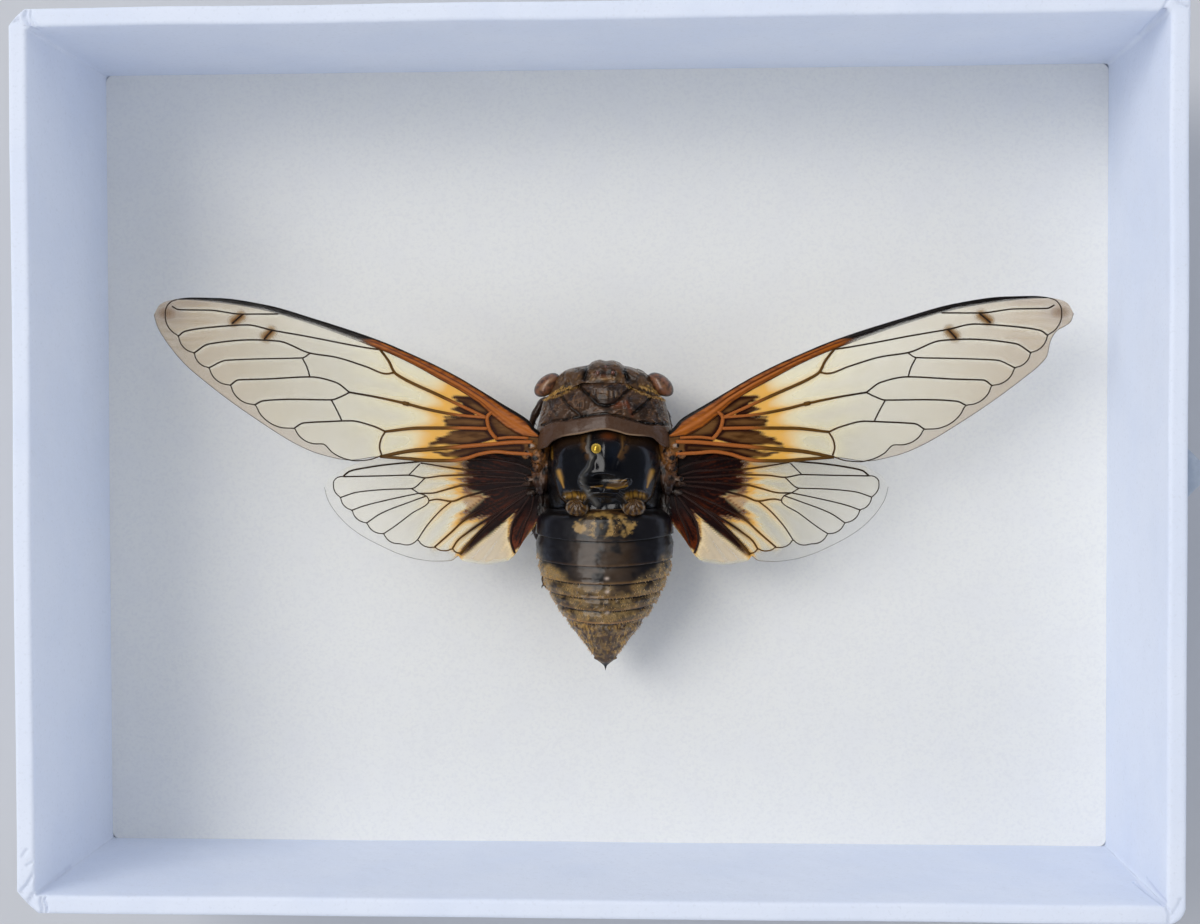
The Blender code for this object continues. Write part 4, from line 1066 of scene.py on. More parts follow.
def head_surface(x, y, z):
    """The head from above: the middle mound, side plates, furrows and wrinkles."""
    points = np.column_stack([x, y, z])
    side = np.abs(x - HEAD_MIDDLE)
    mound = 0.8 * spot(x, y, (HEAD_MIDDLE, 13.0), 2.7, 1.1)
    pit = ridge(x, y, ((-0.7, 12.65), (1.5, 12.65)), 0.42)
    plates = 0.4 * spot(side, y, (5.2, 12.5), 1.6, 0.7)
    knots = 0.42 * (
        spot(side, y, (4.3, 11.8), 0.5, 0.45) + spot(side, y, (3.3, 11.3), 0.4, 0.4)
        + spot(side, y, (5.5, 11.6), 0.5, 0.5) + spot(side, y, (6.3, 10.8), 0.6, 0.5)
    )  # fmt: skip
    furrow = 0.55 * ridge(side, y, ((3.0, 14.2), (2.8, 12.8), (3.2, 11.7)), 0.26)
    crests = ease((rough(points + 7.0, 1.7, 3, sharp=True) - 0.25) / 0.4)
    hollows = ease((0.02 - rough(points, 1.5, 3)) / 0.25)
    wrinkles = 0.12 * rough(points, 0.9, 3) + 0.18 * crests
    bands = np.maximum(
        ridge(side, y, ((8.6, 9.2), (6.4, 10.2), (5.0, 10.7)), 0.14),
        ridge(side, y, ((8.0, 9.6), (6.0, 10.8)), 0.1),
    )
    # tan lightens the raised crests: painted highlight. dark is painted shade in the pit between the ocelli,
    # in the furrows and in the hollows.
    marks = {
        "gold": 0.9 * bands,
        "tan": 0.35 + 0.65 * crests,
        "pale": 0.6 * ridge(x, y, ((-1.8, 11.75), (2.4, 11.75)), 0.2),
        "rust": 0.8 * spot(x, y, (HEAD_MIDDLE, 12.5), 2.0, 0.7) * ease((rough(points, 0.7, 2) + 0.3) / 0.4),
        "dark": np.clip(0.9 * pit + 1.4 * furrow + 0.65 * hollows * (1 - 0.6 * mound), 0, 1),
    }
    return mound + plates + knots - furrow - 0.3 * pit + wrinkles, marks


def pronotum_surface(x, y, z):
    """The first shield: lobes parted by furrows, then the smooth band of its collar."""
    points = np.column_stack([x, y, z])
    shift = x - LOBE_MIDDLE
    side = np.abs(shift)
    middle = ease(depth_inside(shift, y, MIDDLE_LOBE) / 0.8)
    lobes = ease(depth_inside(side, y, SIDE_LOBE) / 0.7)
    outer = ease(depth_inside(side, y, OUTER_LOBE) / 0.9)
    edge = across(COLLAR_FRONT, x) - y
    band = ease(edge / 0.3)
    front = 1 - band
    furrows = sum(ridge(side, y, line, 0.22) for line in LOBE_FURROWS)
    combs = np.sin(shift * 9.0 + 0.8 * rough(points, 1.5, 2))
    combs *= middle * ease((10.6 - y) / 1.2) + 0.8 * lobes * (shift < 0)
    crests = ease((rough(points * (1, 1.5, 1) + 3.0, 1.4, 3, sharp=True) - 0.25) / 0.35)
    creases = 0.18 * crests + 0.05 * rough(points * (0.7, 1.3, 1), 0.9, 3)
    hollows = ease((0.0 - rough(points * (1, 1.3, 1), 1.5, 3)) / 0.25) * front
    lip = across(COLLAR_REAR, x) - y
    relief = front * (0.4 * middle + 0.35 * lobes + 0.25 * outer - 0.42 * furrows + 0.14 * combs + creases)
    relief += band * (0.34 + 0.03 * rough(points * (0.4, 1, 1), 0.6, 2)) - 0.2 * peak(edge + 0.1, 0.2)
    relief += 0.1 * peak(lip + 0.25, 0.2) - 0.09 * np.minimum(side, 4)
    orbit = ridge(np.abs(x), y, ((8.8, 8.9), (6.8, 9.35), (5.6, 9.8), (3.6, 10.9)), 0.2)
    clouds = ease((rough(points, 1.4, 2) + 0.35) / 0.6)
    bruise = 0.9 * spot(x, y, (2.2, 8.1), 1.0, 0.5)
    bruise += 0.6 * front * ridge(shift, y, ((3.9, 6.4), (2.9, 8.4)), 0.25)
    # tan lightens the raised crests and combs: painted highlight. pale is a painted highlight along the
    # collar's rear lip, on its upper side. dark is painted shade in the furrows, in the groove before the
    # collar and in the hollows.
    marks = {
        "gold": 0.85 * orbit * front + 0.22 * middle * ease((combs - 0.2) / 0.5) * front,
        "blue": 0.7 * front * np.maximum(middle * 0.9, lobes * (shift > 0)) * clouds,
        "rust": bruise,
        "tan": front * np.clip(0.2 + 0.7 * crests + 0.35 * ease(combs / 0.7), 0, 1),
        "pale": 0.9 * peak(lip + 0.12, 0.1) * (z > 2) * ease((7.2 - np.abs(x)) / 3),
        "band": band,
        "dark": np.clip(0.9 * furrows * front + 0.7 * peak(edge + 0.12, 0.14) + 0.6 * hollows, 0, 1),
    }
    return relief, marks


def thorax_surface(x, y, z):
    """The second shield: polished and domed, with the raised cross at its rear."""
    points = np.column_stack([x, y, z])
    shift = x - THORAX_MIDDLE
    side = np.abs(shift)
    arms = ridge(side, y, CROSS_ARM, 0.42)
    bar = ridge(side, y, ((0.0, -4.1), (2.6, -3.7), (3.5, -3.0)), 0.3)
    keel = ridge(shift, y, ((-0.2, -4.4), (-0.2, -6.0)), 0.14)
    sweep = ridge(x, y, CROSS_SWEEP, 0.42)
    pit = spot(x, y, (0.2, -2.8), 2.0, 0.7)
    hollow = spot(side, y, (4.8, -7.2), 1.3, 0.9) + spot(x, y, (0.3, -6.5), 1.9, 0.8)
    bed = ridge(side, y, ((3.2, -5.3), (4.4, -5.0), (5.8, -5.2)), 0.45)
    plates = ease(depth_inside(side, y, REAR_PLATE) / 0.5)
    inside = depth_inside(side, y, SHIELD_EDGE)
    brim = ease((0.2 - inside) / 0.5)
    relief = 0.8 * arms + 0.7 * bar + 0.3 * keel + 0.35 * sweep - 0.85 * pit - 0.55 * hollow - 0.3 * bed
    relief += 0.25 * plates - 0.5 * brim + 0.05 * rough(points, 2.2, 2)
    relief -= 0.1 * ridge(side, y, ((2.1, 4.0), (2.5, 1.8), (1.4, -1.0)), 0.35) + 0.1 * np.minimum(side, 4)
    streaks = ease((rough(points * (2.6, 0.5, 1), 0.8, 2) + 0.25) / 0.4)
    wedge = peak(distance_to(side, y, ((6.9, -1.7), (6.2, -4.0))), 0.12 + 0.22 * ease((y + 4.0) / 1.8))
    horns = ridge(side, y, ((3.0, 3.9), (3.1, 1.9), (2.4, 0.5)), 0.45)
    collar = across(COLLAR_REAR, x)
    brown = 0.9 * horns * ease((rough(points, 0.8, 2) + 0.4) / 0.4)
    brown += 0.7 * spot(shift, y, (0.8, 3.6), 1.4, 0.5)
    brown += 0.4 * ease((y - collar + 2.4) / 2.2) * (side > 2)
    gold = 0.95 * wedge + 0.9 * ridge(side, y, ((8.2, 1.9), (8.1, 0.2)), 0.2)
    gold += 0.7 * bed * (0.3 + 0.7 * streaks)
    gold += 0.8 * ridge(x, y, ((0.6, -3.9), (2.0, -4.1), (3.6, -3.7)), 0.13)
    gold += 0.5 * ridge(x, y, ((1.0, -3.0), (3.4, -2.9)), 0.1)
    gold += 0.35 * ridge(x, y, ((-1.6, -3.9), (0.0, -3.7)), 0.12)
    tan = 0.5 * ease(depth_inside(x, y, CROSS_FLAT) / 0.3)
    tan += 0.7 * ridge(shift, y, ((2.5, 3.7), (2.6, 1.8), (2.0, 0.5)), 0.14)
    tan += 0.5 * peak(inside - 0.05, 0.1) * ease((-2.0 - y) / 2)
    pale = 0.45 * ridge(shift, y, ((-2.4, 3.6), (-2.5, 1.7), (-1.9, 0.4)), 0.2)
    pale += (0.15 + 0.2 * ease((-1.8 - y) / 1.4)) * sweep
    blue = spot(x, y, (1.8, 1.2), 1.2, 1.4)
    blue += 0.6 * ridge(shift, y, ((6.4, 1.8), (6.6, -1.5), (5.4, -4.2)), 0.9)
    # pale is a painted highlight: a streak left of the middle and along the cross's sweep. blue is a
    # blue-black oval, and a painted bluish sheen down the right flank. dark is painted shade in the pit and
    # painted shadow under the collar's lip, and it darkens the flanks beyond the shield's edge.
    marks = {
        "brown": brown, "blue": blue, "gold": gold, "tan": tan, "pale": pale,
        "rust": spot(x, y, (0.9, 3.5), 0.9, 0.5),
        "tuft": bed,
        "dark": 0.8 * pit + (1 - ease((collar - y) / 0.35)) + 0.9 * ease((-0.15 - inside) / 0.3),
    }  # fmt: skip
    return relief, marks


def make_head(settings):
    """The head capsule, eyes, ocelli, antennae and beak. Returns their skin, which the legs share."""
    bm, marks = segment_form(
        HEAD_ROWS, HEAD_HALF_WIDTH, lambda x: across(HEAD_FRONT, x), lambda x: neck(x) - NECK_OVERLAP, 2.6,
        head_surface, (320, 160),
    )  # fmt: skip
    layers = tints(tan="71512f", rust="6a3c24", gold="a8843e", pale="9a7850", dark="0c0807")
    skin = cuticle_material(
        "wrinkled_brown_cuticle", settings.brown[:], layers, (0.22, 0.42), (0.7, 0.09), 0.35
    )
    axis = body_axis()
    add_piece("head_capsule", bm, skin, ("head",), marks, axis)
    shell = eye_material(settings)
    for side, word in SIDES:
        eye = bmesh.new()
        bmesh.ops.create_uvsphere(eye, u_segments=72, v_segments=48, radius=1.0)
        unit = places_of(eye)
        band = ridge(unit[:, 0], unit[:, 1], ((-0.45, 0.1), (0.5, 0.1)), 0.2) * (unit[:, 2] > 0)
        # band is a painted highlight across the top of the eye, stronger on the left eye; edge is painted
        # shade towards the eye's underside.
        marks = {
            "band": (0.8 if side < 0 else 0.3) * band,
            "edge": 1 - ease((unit[:, 2] - 0.25) / 0.4),
        }
        turn = Matrix.Rotation(math.radians(-side * EYE_TURN), 3, "Z")
        bmesh.ops.scale(eye, vec=EYE_RADII, verts=eye.verts)
        bmesh.ops.rotate(eye, cent=(0, 0, 0), matrix=turn, verts=eye.verts)
        bmesh.ops.translate(eye, vec=(side * EYE_CENTRE[0], *EYE_CENTRE[1:]), verts=eye.verts)
        add_piece("eye_dome_" + word, eye, shell, ("eye_" + word,), marks, axis)
    beads = bmesh.new()
    for x, y, z, radius in OCELLI:
        place = Matrix.Translation((x, y, z))
        bmesh.ops.create_uvsphere(beads, u_segments=24, v_segments=16, radius=radius, matrix=place)
    add_piece("ocelli", beads, ocellus_material(), offset=axis)
    for side, word in SIDES:
        route = along_line([(side * x, y, z, r) for x, y, z, r in ANTENNA], np.linspace(0, 1, 24))
        name, bristle = "antenna_bristle_" + word, bars_along([route])
        add_piece(name, bristle, skin, ("antenna_" + word,), offset=axis)
    shares = np.linspace(0, 1, 30)
    route = along_line(BEAK, shares)
    route[:, 3] *= 1 + 0.08 * np.sin(shares * 18)
    add_piece("beak", bars_along([route], 3), skin, ("rostrum",), offset=axis)
    return skin


def make_pronotum(settings):
    """The first shield of the thorax, a mesh of its own."""
    bm, marks = segment_form(
        PRONOTUM_ROWS, PRONOTUM_HALF_WIDTH, neck, lambda x: across(COLLAR_REAR, x), 2.5, pronotum_surface,
        (360, 200),
    )  # fmt: skip
    layers = tints(
        tan="725238", band="4c3628", blue="1c1c20", rust="6b3519", gold="8a6632", dark="0d0908", pale="a08264"
    )
    skin = cuticle_material("ridged_brown_cuticle", settings.brown[:], layers, (0.22, 0.42), (0.6, 0.08), 0.4)
    add_piece("pronotum_shield", bm, skin, ("pronotum",), marks, body_axis())


def make_thorax(settings):
    """The second shield and the two fanned lobes beside its cross."""
    bm, marks = segment_form(
        THORAX_ROWS, THORAX_HALF_WIDTH, lambda x: across(COLLAR_REAR, x) + COLLAR_OVERLAP,
        lambda x: THORAX_REAR + 0 * x, 2.3, thorax_surface, (360, 240),
    )  # fmt: skip
    layers = tints(
        blue="0f151f", brown="4a3219", rust="5a2c14", pale="85827c", tan="6e4f28", gold="a87c2c",
        dark="040405",
    )  # fmt: skip
    skin = cuticle_material(
        "polished_black_cuticle", settings.black[:], layers, (0.10, 0.26), (1.6, 0.05), 0.6, ("0d0f14", 2.0)
    )
    axis = body_axis()
    add_piece("thorax_shield", bm, skin, ("mesothorax",), marks, axis)
    bm = bmesh.new()
    out, along, up = THORAX_LOBE
    for side, _ in SIDES:
        add_lump(bm, (THORAX_MIDDLE + side * out, along, up), THORAX_LOBE_SIZE, (120, 60))
    places = places_of(bm)
    from_centre = np.abs(places[:, 0] - THORAX_MIDDLE) - out
    spread = np.arctan2(places[:, 1] - LOBE_FAN_Y, from_centre)
    fans = np.sin(15 * spread + 1.5 * rough(places, 0.9, 2))
    reach = np.hypot(from_centre, places[:, 1] - along)
    places[:, 2] += 0.06 * fans * ease((reach - 0.2) / 0.5) + 0.06 * rough(places, 0.5, 3)
    move_to(bm, places)
    # gold lightens the fans' ridges and dark fills their grooves: painted highlight and shade.
    marks = {
        "gold": 0.14 * ease(fans / 0.8) * ease((reach - 0.3) / 0.5), "dark": 0.45 * ease((-0.1 - fans) / 0.9),
        "pale": 0.5 * peak(reach - 1.5, 0.12), "brown": 0.9 + 0 * fans,
    }  # fmt: skip
    add_piece("thorax_lobes", bm, skin, marks=marks, offset=axis)


def abdomen_form():
    """The abdomen: stepped rings that overlap backwards, then the cone with its spine."""
    plates = np.array(ABDOMEN_PLATES, float)
    ends = [(SPINE_TIP + 1.1, 0.6, 0.55), (SPINE_TIP + 0.7, 0.2, 0.2), (SPINE_TIP, 0.0, 0.0)]
    table = np.vstack([plates, ends])[::-1]
    front = np.array(ABDOMEN_CAP)
    capped = front[-1, 0]

    def place(share, angle):
        body = np.clip((share - capped) / (1 - capped), 0, 1)
        y = ABDOMEN_FRONT + (SPINE_TIP - ABDOMEN_FRONT) * body
        wide_high = curve_through(table[:, 0], table[:, 1:], y)
        cap = curve_through(front[:, 0], front[:, 1:], np.clip(share, 0, capped))
        wide_high = np.where(share[:, None] < capped, cap, wide_high)
        cos, sin = power_curve(np.cos(angle), 2.2), power_curve(np.sin(angle), 2.2)
        x = wide_high[:, 0] * cos
        # The rings bow back over the middle and each overlaps the next
        bow = 0.9 * (1 - cos**2) * ease((-8.5 - y) / 3) * ease((y + 26) / 3) * (sin > 0)
        step = np.zeros(len(y))
        edge = np.zeros(len(y))
        lip = np.zeros(len(y))
        for start, end in zip((ABDOMEN_FRONT, *ABDOMEN_RINGS), (*ABDOMEN_RINGS, LAST_RING_END)):
            inside = (y <= start) & (y > end)
            along = (start - y) / (start - end)
            step = np.where(inside, -0.34 + 0.4 * ease(along * 2.4), step)
            if start != ABDOMEN_FRONT:
                edge += peak(y - start + 0.12, 0.13)
                lip += peak(y - start - 0.16, 0.16)
        cone = ease((-23.2 - y) / 0.6)
        step = step * np.where(y < ABDOMEN_RINGS[-1], 1 - ease((-24.2 - y) / 2), 1)
        rise = wide_high[:, 1]
        forward = 0.45 * (1 - ease((-19.0 - y) / 7.0))
        points = np.column_stack([x, y - bow + forward, np.where(sin > 0, rise, rise * 0.92) * sin])
        outward = np.column_stack([cos * 0.8, 0 * cos, sin])
        outward /= np.maximum(np.linalg.norm(outward, axis=1), 1e-6)[:, None]
        real = ease((wide_high[:, 0] - 0.5) / 2.0) * ease((share - 0.05) / 0.03)
        bumps = (0.02 + 0.05 * ease((-17 - y) / 2)) * rough(points, 1.0, 3)
        bumps += 0.14 * rough(points * (1, 0.4, 1), 0.7, 2) * cone
        folds = 0.02 * np.sin((y * 5.2) + 0.6 * np.sin(x)) * ease((-11 - y) / 4) * (1 - cone)
        spine = 0.25 * peak(x, 0.5) * ease((-15.5 - y) / 1) * (1 - cone)
        lift = (step + bumps + folds + spine * lip) * real
        points += outward * lift[:, None]
        points[:, 2] -= ABDOMEN_DROOP * (ABDOMEN_FRONT - np.minimum(points[:, 1], ABDOMEN_FRONT))
        # A few side teeth near the tip
        teeth = 0.3 * spot(np.abs(points[:, 0]), y, (1.4, -29.8), 0.4, 0.2)
        points[:, 0] += np.sign(points[:, 0]) * teeth
        return points, abdomen_marks(points, sin, edge * real, lip * real, cone)

    return formed_ball(320, 300, place)


def abdomen_marks(points, sin, edge, lip, cone):
    """Colours of the abdomen: dark rings in front with a golden patch, gold and crumbs towards the rear."""
    x, along = points[:, 0], points[:, 1]
    side = np.abs(x)
    above = sin > 0
    patchy = rough(points, 1.5, 3)
    fine = rough(points * (1, 1.3, 1), 0.55, 3)
    patch = ease(depth_inside(x, along, GOLD_PATCH) / 0.5 + 0.9 * fine + 0.3 * patchy) * above
    heart = ease(depth_inside(x, along, PATCH_HEART) / 0.4 + fine)
    islet = spot(x, along, (-0.2, -9.5), 0.32, 0.5)
    line = ridge(x, along, ((2.3, -8.6), (3.2, -9.8), (3.6, -11.2)), 0.16)
    line += ridge(x, along, ((1.4, -8.4), (2.0, -9.2)), 0.16) + 0.9 * spot(x, along, (2.5, -10.4), 0.32, 0.3)
    line += 0.8 * ridge(x, along, ((-3.4, -9.0), (-2.6, -8.4)), 0.2)
    broad = rough(points + 5.0, 2.6, 3)
    tone = 0.45 + 1.0 * broad + 0.7 * patchy + 0.15 * fine
    sides = ease((side - 8.6 - 1.25 * (along + 13.6) + 1.2 * broad) / 3.4) * ease((-13.0 - along) / 1.4)
    rear = ease((-17.4 - along) / 1.6)
    gold = np.maximum(sides * np.clip(tone + 0.3, 0, 1), 0.75 * rear * np.clip(tone, 0, 1))
    blots = (
        spot(side, along, (6.6, -18.4), 1.0, 0.5) + spot(side, along, (6.0, -20.5), 0.9, 0.5)
        + 0.8 * spot(side, along, (5.9, -21.9), 0.7, 0.4) + 0.5 * spot(side, along, (3.6, -19.4), 0.8, 0.4)
    )  # fmt: skip
    spine_spots = sum(spot(x, along, (-0.3, at), 0.45, 0.4) for at in (-12.9, -15.9, -16.8, -21.0))
    brown = ease((6.2 - side) / 4.0) * ease((-11.2 - along) / 0.6) * ease((broad + 0.6) / 0.5)
    brown = np.maximum(brown, rear)
    strands = ease((rough(points * (1.6, 0.5, 1), 0.7, 3) + 0.12) / 0.3)
    cone_gold = cone * strands * (0.3 + 0.7 * ease((side - 0.8) / 1.8)) * ease((along + 30.0) / 1.5)
    gold = np.clip(gold * (1 - cone) * (1 - 0.8 * np.clip(blots, 0, 1)) + 0.9 * cone_gold, 0, 1)
    gold += 0.75 * patch * (1 - np.clip(heart + line - islet, 0, 1))
    bright = 0.45 * patch * (1 - heart) * ease((patchy + 0.2 * fine + 0.15) / 0.4)
    bright += 0.55 * cone_gold * ease((patchy + 0.05) / 0.3)
    bright += 0.3 * sides * ease((fine - 0.05) / 0.3)
    rust = 0.3 * ease((patchy - 0.05) / 0.3) * rear
    rust += 0.6 * patch * ease((-0.05 - patchy) / 0.3)
    rust += 0.6 * ridge(x, along, ((-3.2, -7.9), (0.0, -7.3), (3.2, -8.0)), 0.2)
    dark = edge * 0.95 + 0.9 * spine_spots + 0.5 * blots * above + ease((-30.2 - along) / 0.5)
    dark += 0.9 * ease((along + 9.0) / 1.0) * ease((side - 3.6) / 1.5)
    dark += 0.4 * ease((-0.02 - patchy) / 0.3) * rear * (1 - 0.5 * cone)
    dark += 0.55 * patch * ease((0.08 - patchy - 0.5 * fine) / 0.25)
    dark += 0.8 * heart * (1 - islet) * above
    dark += 0.8 * np.clip(line, 0, 1) * patch
    return {
        "brown": (0.6 + 0.3 * rear) * brown * above + 0.9 * cone,
        "gold": gold, "bright": bright, "rust": rust, "dark": dark,
        "lip": lip * ease((-14 - along) / 3) * (0.3 + 0.6 * ease((-22.6 - along) / 0.5)),
        "violet": ease((side - 3.0) / 2.0) * ease((along + 17.5) / 2) * above,
        # Painted glints on the three tubercles along the spine.
        "tubercle": sum(spot(x, along, (0.55, at), 0.26, 0.22) for at in (-17.2, -19.2, -22.4)),
    }  # fmt: skip


def make_abdomen():
    """The abdomen in one dark skin, tinted by its marks."""
    bm, marks = abdomen_form()
    layers = tints(
        violet="121117", brown="4a3827", gold="877048", rust="5e4022", bright="b48c46", dark="0b0807",
        lip="9a7040", tubercle="c9b6a8",
    )  # fmt: skip
    skin = cuticle_material(
        "banded_cuticle", linear("0e0b0e"), layers, (0.3, 0.5), (0.8, 0.025), 0.6, ("1a1312", 1.2)
    )
    add_piece("abdomen_rings", bm, skin, ("abdomen",), marks, body_axis())


def add_leg_spine(bm, at, radius, lean):
    """A short spine on one flank of a leg, leaning outwards and back."""
    tilt = Vector((lean * 0.6, -0.8, 0.35)).to_track_quat("Z", "Y").to_matrix().to_4x4()
    foot = Matrix.Translation((at[0] + lean * radius * 0.8, at[1], at[2]))
    place = foot @ tilt @ Matrix.Translation((0, 0, 0.3))
    bmesh.ops.create_cone(bm, cap_ends=True, segments=6, radius1=0.09, radius2=0.01, depth=0.7, matrix=place)


def add_claw(bm, at, lean):
    """One hooked claw at a leg's tip."""
    x, y, z = at
    middle, tip = (x + lean * 0.25, y - 0.3, z, 0.1), (x + lean * 0.3, y - 0.6, z - 0.2, 0.03)
    claw = bars_along([[(x, y, z, 0.13), middle, tip]])
    spare = bpy.data.meshes.new("claw")
    claw.to_mesh(spare)
    claw.free()
    bm.from_mesh(spare)
    bpy.data.meshes.remove(spare)


def make_legs(skin):
    """Dried legs folded under the body: swollen at the joints, spined along the shin, with two claws."""
    axis = body_axis()
    shares = np.linspace(0, 1, LEG_STEPS)
    swelling = 1 + 0.22 * sum(peak(shares - at, 0.025) for at in LEG_JOINTS)
    for side, word in SIDES:
        reach = side if side < 0 else side * TUCKED_LEGS
        for name, points in LEGS.items():
            route = along_line([(reach * x, y, z, r) for x, y, z, r in points], shares)
            route[:, 3] *= swelling
            bm = bars_along([route], 3)
            for index in SPINED_STEPS:
                for lean in (-1, 1):
                    add_leg_spine(bm, route[index, :3], route[index, 3], lean)
            for lean in (-1, 1):
                add_claw(bm, route[-1, :3], lean)
            add_piece(f"{name}_{word}_limb", bm, skin, (f"{name}_{word}",), offset=axis)


def forewing_height(x, y):
    """Height of the front wings' middle sheet, in shallow waves."""
    return FOREWING_LEVEL + 0.16 * np.sin(0.11 * x + 0.5) + 0.08 * np.sin(0.7 * y - 0.1 * x)


def hindwing_height(x, y):
    """Height of the rear wings' middle sheet, with the pleats of its fan."""
    return HINDWING_LEVEL + 0.12 * np.sin(0.2 * x) + 0.07 * np.sin(2.4 * np.arctan2(y + 3.0, x - 6.0) * 4)


def sheet_between(lead, trail, size, height, thickness):
    """A thin closed sheet between a wing's two edges."""
    bm = bmesh.new()
    bmesh.ops.create_grid(bm, x_segments=size[0], y_segments=size[1], size=1.0)
    unit = (places_of(bm) + 1) / 2
    front, rear = along_line(lead, unit[:, 0]), along_line(trail, unit[:, 0])
    flat = rear + (front - rear) * unit[:, 1:2]
    move_to(bm, np.column_stack([flat, height(flat[:, 0], flat[:, 1])]))
    thicken(bm, thickness)
    return bm


def forewing_marks(x, y):
    """Colours of the forewing, and how much of what is below it each place covers."""
    vein = np.minimum.reduce([distance_to(x, y, line) for _, line in FOREWING_VEINS])
    points = np.column_stack([x, y, 0 * x])
    feather = rough(points * (0.3, 1.4, 1), 0.7, 2)
    stain, rim = np.zeros(len(x)), np.zeros(len(x))
    nearest = np.full(len(x), -9.0)
    far = ease((x - 19.5) / 3.0)
    for outline in FOREWING_STAINS:
        depth = depth_inside(x, y, outline)
        nearest = np.maximum(nearest, depth)
        inside = ease((depth + 0.45 - 0.25 * far + 0.55 * far * feather) / (0.2 + 0.35 * far))
        stain = np.maximum(stain, inside)
        rim = np.maximum(rim, inside * peak(np.maximum(depth, 0), 0.3 + 0.16 * far))
    root = ease((13.4 - x) / 1.0)
    stain = np.maximum(stain, root)
    wing = (*scallops(AMBIENT_ENDS), (30.0, 4.0), (30.0, 16.0), (36.0, 24.0), (60.0, 27.0))
    border = ease(-depth_inside(x, y, wing) / 0.2) * ease((x - 34) / 3)
    fade = 1 - ease((x - 27) / 9)
    fringe = peak(np.maximum(-nearest - 0.3, 0), 2.6) * ease((30 - x) / 5)
    line_glow = peak(vein, 0.55) * fade
    base = 1 - ease((x - 20.5) / 3.5)
    amber = np.clip(fringe + 0.55 * line_glow + base, 0, 1)
    cream = np.clip(peak(vein, 1.7) * (1 - ease((x - 31) / 10)) + 1 - ease((x - 24) / 8), 0, 1)
    spots = np.maximum.reduce([ridge(x, y, line, 0.95) for line in WING_SPOTS])
    cores = 0.8 * np.maximum.reduce([ridge(x, y, line, 0.4) for line in WING_SPOTS])
    corner = spot(x, y, (64.6, 21.8), 2.3, 1.5) + 0.5 * spot(x, y, (60.5, 23.2), 2.4, 0.5)
    halo = peak(vein, 0.38) * ease((x - 28) / 6)
    outer = ease((x - 36) / 28)
    ripple = 0.5 + 0.5 * np.sin(5.0 * y + 2.0 * rough(points * (0.2, 1, 1), 1.0, 2))
    ripple *= ease((x - 56) / 4) * ease((y - 15) / 3)
    cover = 0.17 + 0.13 * outer + 0.06 * halo + 0.11 * cream + 0.5 * amber + 0.02 * border + 0.05 * ripple
    cover = np.maximum.reduce([cover, stain, rim, 0.9 * spots, 0.97 * cores, 0.55 * corner])
    return {
        "outer": np.clip(outer * (1 - 0.4 * halo) + 0.25 * ripple, 0, 1), "halo": 0.7 * halo, "cream": cream,
        "amber": amber, "stain": stain, "rim": rim, "border": border, "rusty": np.clip(spots + corner, 0, 1),
        "core": cores, "cover": cover,
    }  # fmt: skip


def hindwing_marks(x, y):
    """Colours of the hindwing: its dark base in rays, the tan lobe and clear cells."""
    dx, dy = x - HIND_ROOT[0], y - HIND_ROOT[1]
    radius = np.hypot(dx, dy)
    direction = np.degrees(np.arctan2(dy, dx))
    streaks = rough(np.column_stack([direction * 0.55, radius * 0.1, 0 * x]), 1.0, 3)
    depth = np.interp(direction, *zip(*FAN_REACH)) - radius + 1.5 * streaks
    lobe = ease(depth_inside(x, y, TAN_LOBE) / 0.5)
    strip = ease((depth_inside(x, y, INNER_STRIP) + 0.1) / 0.35)
    fan = ease((depth + 0.3) / 0.9) * (1 - lobe)
    vein = np.minimum.reduce([distance_to(x, y, line) for _, line in HINDWING_VEINS])
    rays = [ridge(x, y, HINDWING_VEINS[i][1], width) for i, width in RAY_WIDTHS]
    ray = np.maximum.reduce(rays) * ease((22.8 - x) / 4) * ease((15.3 + y) / 1.2)
    fringe = ease((depth + 2.4) / 2.2) * (1 - fan)
    glow = peak(vein, 0.6) * (1 - ease((x - 22) / 7))
    amber = np.clip(fringe + 0.8 * glow, 0, 1)
    cream = np.clip(ease((depth + 4.5) / 3.5) + peak(vein, 1.2) * (1 - ease((x - 25) / 7)), 0, 1)
    window = ease((depth_inside(x, y, FAN_WINDOW) + 0.3) / 0.6)
    outside = -depth_inside(x, y, (*scallops(HIND_AMBIENT_ENDS), (14.0, -12.0), (12.0, 3.0), (37.0, 3.0)))
    border = ease(outside / 0.2) * ease((x - 21) / 1.5)
    halo = peak(vein, 0.32) * ease((x - 21) / 3)
    pleats = 0.5 + 0.5 * np.sin(direction * 1.1)
    edge_rust = strip * (1 - ease((depth_inside(x, y, INNER_STRIP) - 0.1) / 0.5)) * ease((-9.5 - y) / 3)
    cover = 0.10 + 0.05 * halo + 0.10 * cream + 0.5 * amber - 0.05 * border
    cover += (0.22 + 0.1 * pleats) * lobe
    cover += 0.2 * window
    cover = np.maximum.reduce([cover, fan, 0.95 * ray, strip])
    rusty = peak(depth - 0.1, 0.5) * (1 - lobe) + 0.8 * edge_rust
    rusty += 0.4 * ease((streaks - 0.02) / 0.3) * fan * ease((radius - 4) / 4)
    return {
        "halo": 0.7 * halo, "cream": cream, "border": border, "window": window, "lobe": lobe, "strip": strip,
        "amber": amber * (1 - fan) * (1 - 0.85 * lobe), "fan": fan * (1 - 0.6 * window), "ray": ray,
        "inner": ease((5.5 - radius) / 4), "rusty": np.clip(rusty, 0, 1) * 0.8, "cover": cover,
    }  # fmt: skip


def forewing_vein_marks(x, _):
    return {"middle": 1 - ease((x - 30) / 6), "root": 1 - ease((x - 20.5) / 3.5)}


